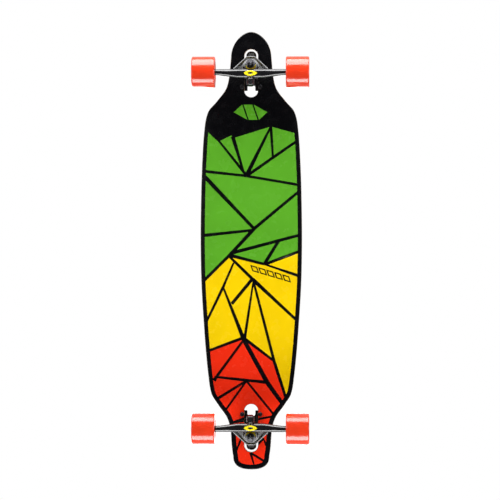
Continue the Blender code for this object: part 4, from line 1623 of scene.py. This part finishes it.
    def hanger_mesh(self) -> Mesh:
        """Beam, ringed yoke with raised rims, and pivot tip, cast in one.

        Returns:
            The mesh.
        """
        cast = Casting("truck_hanger", softness=5)
        self.beam(cast.rough)
        steering = self.steering
        down = steering.down_kingpin
        flip = down @ Matrix.Diagonal((1.0, -1.0, 1.0, 1.0))
        ring_centre = Vector(steering.ring_centre)
        foot = -(ring_centre.y + self.beam_offset) / math.cos(math.radians(steering.kingpin_tilt))
        outline = rounded_path(((self.yoke_tip_half, self.yoke_tip, 0.004),
                                (self.yoke_foot_half, foot + 0.012, 0.003),
                                (self.yoke_foot_half - 0.004, foot, 0.003),
                                (-self.yoke_foot_half + 0.004, foot, 0.003),
                                (-self.yoke_foot_half, foot + 0.012, 0.003),
                                (-self.yoke_tip_half, self.yoke_tip, 0.004)), True, 6)
        cast.rough.prism(outline, -self.yoke_web / 2, self.yoke_web / 2, Palette.CASTING, flip)
        inner = [(x * 0.87, y - 0.0032 if y > foot + 0.013 else y) for x, y in outline]
        self.frame_rim(cast.rough, outline, inner, self.yoke_rim / 2, flip)
        cast.rough.lathe(rounded_path(((0.002, -self.ring_thickness / 2, 0.0),
                                       (self.ring_radius, -self.ring_thickness / 2, 0.0012),
                                       (self.ring_radius, self.ring_thickness / 2, 0.0012),
                                       (0.002, self.ring_thickness / 2, 0.0))),
                         Palette.CASTING, down)
        rib = ((-0.0085, 0.0), (0.0030, 0.0), (0.0022, 0.0075), (0.0035, 0.0110),
               (0.0010, 0.0140), (-0.0055, 0.0115))
        reach = self.yoke_foot_half - 0.006
        cast.rough.prism(rib, -reach, reach, Palette.CASTING, SIDEWAYS)
        tip = [(0.0004, -self.tip_radius), *quarter_round(self.tip_radius),
               (self.tip_radius, self.cup_mouth + 0.001), (0.0065, self.cup_mouth + 0.006),
               (0.0065, 0.016)]
        cast.rough.lathe(tip, Palette.CASTING, steering.out_of_pivot)
        recess = self.bushing_radius + 0.0006
        cast.drill(self.ring_hole, -0.008, 0.0065, down)
        cast.drill(recess, -0.020, -self.web, down)
        cast.drill(recess, self.web, 0.016, down)
        cast.drill(self.axle_radius + GAP, -self.beam_end - 0.01, self.beam_end + 0.01,
                   ALONG_AXLE)
        return cast.mesh()

    def frame_rim(self, shape: Shape, outline: Sequence[Point2], inner: Sequence[Point2],
                  half: float, place: Matrix) -> None:
        """Raised rim round the yoke, between its outline and an inner loop.

        Args:
            shape: the shape that it joins.
            outline: the yoke's outline.
            inner: the rim's inner edge.
            half: half the rim's thickness.
            place: matrix that moves the points.
        """
        corners = ((outline, half), (outline, -half), (inner, -half), (inner, half))
        rings = [[(x, y, z) for x, y in loop] for loop, z in corners]
        shape.loops(rings, Palette.CASTING, place, closed=True)

    def mark_mesh(self, hanger: Mesh) -> Mesh:
        """A plain lozenge with a dark slit, laid on the underside of the beam.

        Args:
            hanger: the hanger that it lies on.

        Returns:
            The mesh.
        """
        bm = bmesh.new()
        bm.from_mesh(hanger)
        tree = BVHTree.FromBMesh(bm)
        bm.free()
        half_x, half_y = self.mark_half
        sides = 48
        shares = (1.0, 0.985, 0.94, 0.85, 0.7, 0.52, 0.42, 0.38, 0.15)
        proud = (-0.00025, 0.0001, 0.00022, 0.00025, 0.00025, 0.00025, 0.00025, 0.00008, 0.00008)
        rings = []
        for share, lift in zip(shares, proud):
            ring = []
            for i in range(sides):
                angle = TAU * i / sides
                x = half_x * share * math.copysign(abs(math.cos(angle)) ** 1.5, math.cos(angle))
                y = half_y * share * math.copysign(abs(math.sin(angle)) ** 1.1, math.sin(angle))
                hit = tree.ray_cast(Vector((x, y + self.mark_offset, -0.05)), Vector((0, 0, 1)))
                height = hit[0].z if hit[0] else -self.beam_height
                ring.append((x, y + self.mark_offset, height - lift))
            rings.append(ring)
        shape = Shape()
        shape.loops(rings, Palette.MARK, capped=False,
                    band_finish=lambda band: Palette.OXIDE if band >= 6 else Palette.MARK)
        start = len(shape.points) - sides
        shape.faces.append(tuple(range(start, start + sides)))
        shape.finishes.append(Palette.OXIDE)
        return shape.mesh("hanger_mark", 40.0)

    def kingpin_mesh(self) -> Mesh:
        """Hexagon-headed bolt with a threaded end.

        Returns:
            The mesh.
        """
        shape = Shape()
        down = self.steering.down_kingpin
        head_low = -(self.seat + self.kingpin_grip)
        radius, height = self.kingpin_head
        shape.hexagon(radius * math.cos(math.pi / 6), 0.0012, head_low - height, head_low,
                      Palette.OXIDE, down)
        end = self.nut_start + self.kingpin_nut[1] + self.kingpin_tail
        shank_end = self.nut_start - 0.001
        shape.lathe(((self.kingpin_radius, head_low - 0.003), (self.kingpin_radius, shank_end)),
                    Palette.OXIDE, down, 40)
        shape.thread(self.kingpin_radius, shank_end, end, self.kingpin_pitch, Palette.OXIDE,
                     down, 32)
        return shape.mesh("kingpin")

    def nut_mesh(self, name: str, size: Point2, bore: float, start: float, sense: float,
                 place: Matrix) -> Mesh:
        """Lock nut: a chamfered hexagon with a domed nylon collar.

        Args:
            name: the mesh's name.
            size: its corner radius and its height.
            bore: radius of its hole.
            start: where its flat side lies along Z.
            sense: 1 if the collar points along Z, else -1.
            place: matrix that moves the points.

        Returns:
            The mesh.
        """
        radius, height = size
        inscribed = radius * math.cos(math.pi / 6)
        shape = Shape()
        place = place @ Matrix.Translation((0.0, 0.0, start)) @ Matrix.Diagonal(
            (1.0, 1.0, sense, 1.0))
        body = height * 0.72
        shape.hexagon(inscribed, bore, 0.0, body, Palette.OXIDE, place)
        collar = rounded_path(((inscribed * 0.93, body - 0.0006, 0.0),
                               (inscribed * 0.93, height * 0.90, 0.0004),
                               (inscribed * 0.84, height, 0.0003),
                               (inscribed * 0.76, height, 0.0002),
                               (inscribed * 0.74, height - 0.0007, 0.0)))
        shape.lathe(collar, Palette.OXIDE, place, 48)
        nylon = rounded_path(((inscribed * 0.75, height - 0.0012, 0.0),
                              (inscribed * 0.75, height - 0.0004, 0.0001),
                              (bore + 0.0004, height - 0.0004, 0.0002),
                              (bore + 0.0001, height - 0.0009, 0.0001),
                              (bore + 0.0001, height - 0.0012, 0.0)), True)
        shape.lathe(nylon, Palette.NYLON, place, 48, ring=True)
        return shape.mesh(name)

    def bushing_run(self, side: str) -> tuple[float, float]:
        """A bushing's height, and the sense along the kingpin in which it stands."""
        return (self.board_bushing, -1.0) if side == "board" else (self.road_bushing, 1.0)

    def washer_mesh(self, side: str) -> Mesh:
        """Cupped washer with rolled edges.

        Args:
            side: "board" or "road".

        Returns:
            The mesh.
        """
        radius = self.board_washer_radius if side == "board" else self.road_washer_radius
        height, sense = self.bushing_run(side)
        start = self.web + height + 2 * GAP
        hole = self.kingpin_radius + GAP
        far, lip = start + self.washer, start - self.washer_lip
        wall = radius - self.washer_lip
        ring = rounded_path(((hole, start, 0.0002), (wall, start, 0.0002), (wall, lip, 0.0003),
                             (radius, lip, 0.0005), (radius, far, 0.0012), (hole, far, 0.0003)),
                            True)
        shape = Shape()
        shape.lathe([(r, sense * z) for r, z in ring], Palette.OXIDE,
                    self.steering.down_kingpin, ring=True)
        return shape.mesh(f"{side}_washer")

    def bushing_mesh(self, side: str) -> Mesh:
        """Barrel bushing for the board side, cone for the road side.

        Args:
            side: "board" or "road".

        Returns:
            The mesh.
        """
        hole = self.kingpin_radius + GAP
        start = self.web + GAP
        radius = self.bushing_radius
        height, sense = self.bushing_run(side)
        far = start + height
        tip = radius if side == "board" else min(
            self.road_bushing_tip, self.road_washer_radius - self.washer_lip - GAP)
        shoulder = start + self.ring_recess + 0.001
        shares = [i / self.bushing_rows for i in range(1, self.bushing_rows)]
        wall = [(radius + (tip - radius) * t, shoulder + (far - shoulder) * t, 0.0)
                for t in shares]
        bore = [(hole, far + (start - far) * t, 0.0) for t in shares]
        corners = ((hole, start, 0.0003), (radius, start, 0.0007), (radius, shoulder, 0.0010),
                   *wall, (tip, far, 0.0012), (hole, far, 0.0003), *bore)
        shape = Shape()
        shape.lathe([(r, sense * z) for r, z in rounded_path(corners, True)], Palette.BUSHING,
                    self.steering.down_kingpin, ring=True)
        return shape.mesh(f"{side}_bushing")

    def add_bushing(self, end: str, side: str, place: Matrix) -> None:
        """Add a bushing between the hanger's ring and the washer, placed where the truck stands.

        Args:
            end: "front" or "rear".
            side: "board" or "road".
            place: where the truck stands.
        """
        piece = new_object(f"{end}_{side}_bushing_part", self.bushing_mesh(side))
        piece.matrix_world = place
        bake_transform(piece)
        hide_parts(f"{end}_{side}_bushing")
        LOG.info("%s: bends between hanger and board", piece.name)

    def cup_mesh(self) -> Mesh:
        """Socket for the tip of the hanger.

        Returns:
            The mesh.
        """
        hollow = self.tip_radius + GAP
        profile = [(0.0003, -self.cup_depth), (self.cup_radius, -self.cup_depth),
                   (self.cup_radius, self.cup_mouth - 0.0003),
                   (self.cup_radius - 0.0003, self.cup_mouth),
                   (hollow + 0.0009, self.cup_mouth), *reversed(quarter_round(hollow)),
                   (0.0003, -hollow)]
        shape = Shape()
        shape.lathe(profile, Palette.RUBBER, self.steering.out_of_pivot, 48)
        return shape.mesh("pivot_cup")

    def axle_mesh(self) -> Mesh:
        """Ground axle with threaded ends.

        Returns:
            The mesh.
        """
        shape = Shape()
        plain = self.axle_nut_start - 0.001
        shape.lathe(((self.axle_radius, -plain), (self.axle_radius, plain)), Palette.CHROME,
                    ALONG_AXLE, 40)
        for sense in (-1.0, 1.0):
            ends = sorted((sense * (plain - 0.0001), sense * self.axle_end))
            shape.thread(self.axle_radius, ends[0], ends[1], self.axle_pitch,
                         Palette.CHROME, ALONG_AXLE, 32)
        return shape.mesh("axle")

    def speed_ring_mesh(self) -> Mesh:
        """Thin ring that keeps a bearing's inner race off the nut or the beam.

        Returns:
            The mesh, with its middle at the origin and its axis along X.
        """
        hole = self.axle_radius + GAP / 2
        rim, half = self.speed_ring_radius, self.speed_ring_half
        profile = rounded_path(((hole, -half, 0.0001), (rim, -half, 0.0002),
                                (rim, half, 0.0002), (hole, half, 0.0001)), True)
        shape = Shape()
        shape.lathe(profile, Palette.STEEL, ALONG_AXLE, 40, ring=True)
        return shape.mesh("speed_ring")

    def bolt_mesh(self) -> Mesh:
        """Mounting bolt with a domed head, a hexagon socket and a threaded end.

        Returns:
            The mesh.
        """
        shape = Shape()
        head_low = self.flange_face + self.flange_thickness + GAP
        radius, height = self.bolt_head
        top = head_low + height
        rim = rounded_path(((self.bolt_radius, head_low, 0.0), (radius, head_low, 0.0002),
                            (radius, head_low + 0.0012, 0.0006),
                            (radius - 0.0010, top - 0.0002, 0.0006), (0.0021, top, 0.0)))
        rings = [[(x, y, z) for x, y in circle(r, 48)] for r, z in rim]
        flat, floor = self.bolt_socket
        socket = [(hex_reach(TAU * i / 48, flat), TAU * i / 48) for i in range(48)]
        for depth in (0.0001, floor):
            rings.append([(r * math.cos(a), r * math.sin(a), top - depth) for r, a in socket])
        shape.loops(rings, Palette.OXIDE)
        nut_low = self.deck_bottom - GAP - self.bolt_nut[1]
        shape.lathe(((self.bolt_radius, nut_low + 0.004), (self.bolt_radius, head_low)),
                    Palette.OXIDE, None, 32)
        shape.thread(self.bolt_radius, nut_low - self.bolt_tail, nut_low + 0.0041,
                     self.bolt_pitch, Palette.OXIDE, None, 24)
        return shape.mesh("mounting_bolt")

    def build(self, places: dict[str, Matrix]) -> None:
        """Make the pieces and put a set at each end.

        Args:
            places: where each end's truck stands, by the end's name.
        """
        down = self.steering.down_kingpin
        hanger = self.hanger_mesh()
        board_pieces = {
            "baseplate": (self.baseplate_mesh(), "truck_black"),
            "pivot_cup": (self.cup_mesh(), "cup_urethane"),
            "kingpin": (self.kingpin_mesh(), "steel"),
            "kingpin_nut": (self.nut_mesh("kingpin_nut", self.kingpin_nut,
                                          self.kingpin_radius + 0.0001, self.nut_start, 1.0,
                                          down),
                            "dark_steel"),
            "board_washer": (self.washer_mesh("board"), "dark_steel"),
            "road_washer": (self.washer_mesh("road"), "dark_steel"),
        }
        mark = self.mark_mesh(hanger)
        axle = self.axle_mesh()
        ring = self.speed_ring_mesh()
        bolt = self.bolt_mesh()
        bolt_nut = self.nut_mesh("bolt_nut", self.bolt_nut, self.bolt_radius + 0.0001,
                                 self.deck_bottom - GAP, -1.0, Matrix())
        axle_nut = self.nut_mesh("axle_nut", self.axle_nut, self.axle_radius + 0.0001,
                                 self.axle_nut_start, 1.0, ALONG_AXLE)
        for end, place in places.items():
            for name, (mesh, slot) in board_pieces.items():
                add_piece(f"{end}_{name}_part", mesh, "board", (f"{end}_{name}",), place)
            body = f"{end}_truck_hanger"
            self.add_bushing(end, "board", place)
            self.add_bushing(end, "road", place)
            add_piece(f"{end}_hanger_part", hanger, body, (f"{end}_hanger",),
                      place)
            add_piece(f"{end}_hanger_mark", mark, body, (), place)
            add_piece(f"{end}_axle_part", axle, body, (f"{end}_axle",), place)
            rider_left = -1 if end == "front" else 1
            for side, sense in (("left", rider_left), ("right", -rider_left)):
                turn = Matrix() if sense > 0 else Matrix.Rotation(math.pi, 4, "Z")
                add_piece(f"{end}_{side}_axle_nut_part", axle_nut, body,
                          (f"{end}_{side}_axle_nut",), place @ turn)
                for spot, x in (("outer", self.axle_nut_start - 0.0006),
                                ("inner", self.beam_end + 0.0006)):
                    add_piece(f"{end}_{side}_{spot}_speed_ring", ring, body, (),
                              place @ Matrix.Translation((sense * x, 0.0, 0.0)))
            number = 0
            for y in self.bolts_y:
                for x in (-self.bolts_x / 2, self.bolts_x / 2):
                    number += 1
                    spot = place @ Matrix.Translation((x, y, 0.0))
                    add_piece(f"{end}_bolt_{number}_part", bolt, "board",
                              (f"{end}_bolt_{number}",), spot)
                    add_piece(f"{end}_bolt_nut_{number}_part", bolt_nut, "board",
                              (f"{end}_bolt_nut_{number}",), spot)


# ---------------------------------------------------------------- wheels
@dataclass
class Wheel:
    """Urethane wheel with a ribbed core and two shielded bearings, its axis along X."""

    radius: float = 0.035
    half_width: float = 0.026
    corner: float = 0.0032
    recess_radius: float = 0.0235
    core_radius: float = 0.0170
    core_half: float = 0.0150
    bore: float = 0.0090
    bearing_radius: float = 0.0110
    bearing_near: float = 0.0055
    bearing_far: float = 0.0125
    axle_radius: float = 0.0040
    ribs: int = 10

    def tyre_mesh(self) -> Mesh:
        """The poured tread and its two dished faces.

        Returns:
            The mesh.
        """
        inner = self.core_radius + GAP
        half = ((inner, self.core_half, 0.0003), (inner + 0.0012, self.core_half + 0.0002, 0.0004),
                (self.recess_radius - 0.0008, self.half_width - 0.0014, 0.0030),
                (self.recess_radius + 0.0020, self.half_width, 0.0012),
                (self.radius, self.half_width, self.corner))
        mirrored = tuple((r, -z, c) for r, z, c in reversed(half))
        profile = rounded_path((*half, *mirrored), True, 7)
        shape = Shape()
        shape.lathe(profile, Palette.WHEEL, ALONG_AXLE, 128, ring=True)
        return shape.mesh("wheel_tyre", 50.0)

    def core_mesh(self) -> Mesh:
        """The hub, with a ribbed groove round each bearing.

        Returns:
            The mesh.
        """
        pocket = self.bearing_radius + GAP
        ledge = self.bearing_near - GAP
        rim, hub = self.core_radius - 0.0012, pocket + 0.0014
        groove = self.core_half - 0.0035
        half = ((self.core_radius, self.core_half, 0.0004), (rim, self.core_half, 0.0003),
                (rim, groove, 0.0004), (hub, groove, 0.0004), (hub, self.core_half, 0.0003),
                (pocket, self.core_half, 0.0004), (pocket, ledge, 0.0), (self.bore, ledge, 0.0))
        mirrored = tuple((r, -z, c) for r, z, c in reversed(half))
        shape = Shape()
        shape.lathe(rounded_path((*half, *mirrored), True, 3), Palette.CORE, ALONG_AXLE, 80,
                    ring=True)
        for sense in (-1.0, 1.0):
            for number in range(self.ribs):
                turn = Matrix.Rotation(TAU * number / self.ribs, 4, "Z")
                limits = sorted((sense * (groove - 0.0004), sense * (self.core_half - 0.0007)))
                rib = ((hub - 0.0003, -0.0005), (rim + 0.0003, -0.0005), (rim + 0.0003, 0.0005),
                       (hub - 0.0003, 0.0005))
                shape.prism(rib, limits[0], limits[1], Palette.CORE, ALONG_AXLE @ turn, 0.0001)
        return shape.mesh("wheel_core")

    def bearing_mesh(self) -> Mesh:
        """Bearing with chamfered races and a dished rubber shield on each side.

        Returns:
            The mesh, for the +X side of the wheel.
        """
        hole = self.axle_radius + GAP
        near, far = self.bearing_near, self.bearing_far
        shape = Shape()
        outer = rounded_path(((0.0095, near, 0.0001), (self.bearing_radius, near, 0.0004),
                              (self.bearing_radius, far, 0.0004), (0.0095, far, 0.0001)), True)
        inner = rounded_path(((hole, near, 0.0003), (0.0059, near, 0.0001),
                              (0.0059, far, 0.0001), (hole, far, 0.0003)), True)
        shield = rounded_path(((0.0060, near + 0.0004, 0.0001), (0.0094, near + 0.0003, 0.0001),
                               (0.0094, far - 0.0003, 0.0001), (0.0088, far - 0.0003, 0.0002),
                               (0.0082, far - 0.0006, 0.0002), (0.0066, far - 0.0006, 0.0002),
                               (0.0060, far - 0.0004, 0.0001)), True)
        shape.lathe(outer, Palette.CHROME, ALONG_AXLE, 64, ring=True)
        shape.lathe(inner, Palette.CHROME, ALONG_AXLE, 64, ring=True)
        shape.lathe(shield, Palette.SHIELD, ALONG_AXLE, 64, ring=True)
        return shape.mesh("bearing")

    def build(self) -> None:
        """Make the pieces and put a set on each of the four axle ends."""
        tyre, core, bearing = self.tyre_mesh(), self.core_mesh(), self.bearing_mesh()
        for end in ("front", "rear"):
            for side in ("left", "right"):
                name = f"{end}_{side}"
                low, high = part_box(f"{name}_wheel")
                body = f"{name}_wheel_set"
                place = Matrix.Translation((low + high) / 2)
                outward = math.copysign(1.0, (low + high).x)
                add_piece(f"{name}_tyre", tyre, body, (f"{name}_wheel",), place)
                add_piece(f"{name}_hub_core", core, body, (f"{name}_core",),
                          place)
                for spot, sense in (("outer", outward), ("inner", -outward)):
                    turn = Matrix() if sense > 0 else Matrix.Rotation(math.pi, 4, "Z")
                    add_piece(f"{name}_{spot}_race", bearing, body,
                              (f"{name}_{spot}_bearing",), place @ turn)


# ---------------------------------------------------------------- stage
@dataclass(frozen=True)
class SoftBox:
    """One rectangular studio light."""

    name: str
    place: Point3
    aim: Point3
    size: Point2
    power: float

    def build(self) -> None:
        """Make the light, hidden from the camera itself."""
        lamp = bpy.data.lights.new(self.name, "AREA")
        lamp.shape = "RECTANGLE"
        lamp.size, lamp.size_y = self.size
        lamp.energy = self.power
        thing = new_object(self.name, lamp)
        thing.location = self.place
        toward = Vector(self.aim) - Vector(self.place)
        thing.rotation_euler = toward.to_track_quat("-Z", "Y").to_euler()
        thing.visible_camera = False


@dataclass
class Studio:
    """Pale floor, soft lights beyond both ends of the board, and the camera below it."""

    distance: float = 3.70
    side_step: float = 0.115
    view_width: float = 1.130
    aim_x: float = 0.0027
    aim_y: float = 0.0014
    floor_size: float = 120.0
    glow: tuple[tuple[str, float], ...] = (("From Min", -0.25), ("From Max", 0.6),
                                           ("To Min", 0.02), ("To Max", 0.75))
    boxes: tuple[SoftBox, ...] = (
        SoftBox("nose_box", (0.0, 1.60, -0.35), (0.0, 0.0, -0.35), (2.2, 1.25), 92.0),
        SoftBox("tail_box", (0.0, -2.5, -1.05), (0.0, 0.0, -1.05), (2.6, 1.5), 128.0),
        SoftBox("left_box", (-2.4, 0.3, -1.5), (0.0, 0.0, 0.08), (1.4, 2.2), 34.0),
        SoftBox("right_box", (2.4, 0.3, -1.5), (0.0, 0.0, 0.08), (1.4, 2.2), 34.0),
        SoftBox("top_box", (0.6, -0.8, 2.6), (0.0, 0.0, 0.08), (2.6, 2.6), 95.0),
    )

    def floor(self) -> None:
        """Make the floor: plain and pale from above, and clear from below.

        The camera looks up from under the board, so the floor's underside lets it see through,
        and the lights below the floor shine through it too.
        """
        mesh = bpy.data.meshes.new("floor")
        reach = self.floor_size / 2
        mesh.from_pydata([(-reach, -reach, 0.0), (reach, -reach, 0.0), (reach, reach, 0.0),
                          (-reach, reach, 0.0)], [], [(0, 1, 2, 3)])
        nodes = Nodes("pale_floor")
        grain = nodes.span(nodes.noise(30.0, 4.0), 0.3, 0.7, 0.0, 1.0)
        nodes.colored(nodes.blend(grain, (0.38, 0.38, 0.38), (0.42, 0.42, 0.42)))
        nodes.set(roughness=0.9, specular_ior_level=0.1, emission_strength=0.42,
                  emission_color=(1.0, 1.0, 1.0))
        tree = nodes.tree
        clear = tree.nodes.new("ShaderNodeBsdfTransparent")
        side = tree.nodes.new("ShaderNodeNewGeometry")
        choose = tree.nodes.new("ShaderNodeMixShader")
        nodes.link(side.outputs["Backfacing"], choose.inputs[0])
        nodes.link(nodes.shader.outputs[0], choose.inputs[1])
        nodes.link(clear.outputs[0], choose.inputs[2])
        nodes.link(choose.outputs[0], tree.nodes["Material Output"].inputs["Surface"])
        mesh.materials.append(nodes.material)
        floor = new_object("floor", mesh)
        floor.visible_diffuse = floor.visible_glossy = False
        floor.visible_transmission = floor.visible_shadow = False

    def world(self) -> None:
        """Make the backdrop: white to the camera, and a dim glow from above as light."""
        world = bpy.data.worlds.new("studio")
        bpy.context.scene.world = world
        world.use_nodes = True
        tree = world.node_tree
        base = tree.nodes["Background"]
        place = tree.nodes.new("ShaderNodeTexCoord")
        split = tree.nodes.new("ShaderNodeSeparateXYZ")
        glow = tree.nodes.new("ShaderNodeMapRange")
        for name, number in self.glow:
            glow.inputs[name].default_value = number
        tree.links.new(place.outputs["Generated"], split.inputs[0])
        tree.links.new(split.outputs["Z"], glow.inputs["Value"])
        tree.links.new(glow.outputs["Result"], base.inputs["Strength"])
        base.inputs["Color"].default_value = (1.0, 1.0, 1.0, 1.0)
        seen = tree.nodes.new("ShaderNodeBackground")
        seen.inputs["Color"].default_value = (1.0, 1.0, 1.0, 1.0)
        path = tree.nodes.new("ShaderNodeLightPath")
        mix = tree.nodes.new("ShaderNodeMixShader")
        tree.links.new(path.outputs["Is Camera Ray"], mix.inputs[0])
        tree.links.new(base.outputs[0], mix.inputs[1])
        tree.links.new(seen.outputs[0], mix.inputs[2])
        tree.links.new(mix.outputs[0], tree.nodes["World Output"].inputs["Surface"])

    def camera(self) -> None:
        """Make the camera, which looks straight up at the underside with the nose up."""
        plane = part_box("deck")[0].z
        lens = bpy.data.cameras.new("camera")
        lens.sensor_width = 36.0
        lens.lens = lens.sensor_width * self.distance / self.view_width
        eye = new_object("camera", lens)
        place = Vector((-self.side_step, self.aim_y, plane - self.distance))
        target = Vector((self.aim_x, self.aim_y, plane))
        back = (place - target).normalized()
        right = Vector((0.0, 1.0, 0.0)).cross(back).normalized()
        up = back.cross(right)
        eye.matrix_world = Matrix.Translation(place) @ Matrix(
            (right, up, back)).transposed().to_4x4()
        bpy.context.scene.camera = eye

    def build(self) -> None:
        """Make the whole stage."""
        self.floor()
        self.world()
        for box in self.boxes:
            box.build()
        self.camera()
        settings = bpy.context.scene.view_settings
        settings.view_transform = "Standard"
        settings.look = "None"


def truck_places() -> dict[str, Matrix]:
    """Where each truck stands: the middle of its axle, the rear one turned end for end.

    Returns:
        The matrices, by the end's name.
    """
    places = {}
    for end, turn in (("front", 0.0), ("rear", math.pi)):
        low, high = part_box(f"{end}_axle")
        places[end] = Matrix.Translation((low + high) / 2) @ Matrix.Rotation(turn, 4, "Z")
    return places


def main() -> None:
    """Build the stage and every sub-assembly in order."""
    logging.basicConfig(level=logging.INFO, format="%(message)s")
    Studio().build()
    places = truck_places()
    deck = Deck()
    deck.build(list(places.values()))
    GripTape(deck).build(list(places.values()))
    Truck().build(places)
    Wheel().build()


if __name__ == "__main__":
    main()
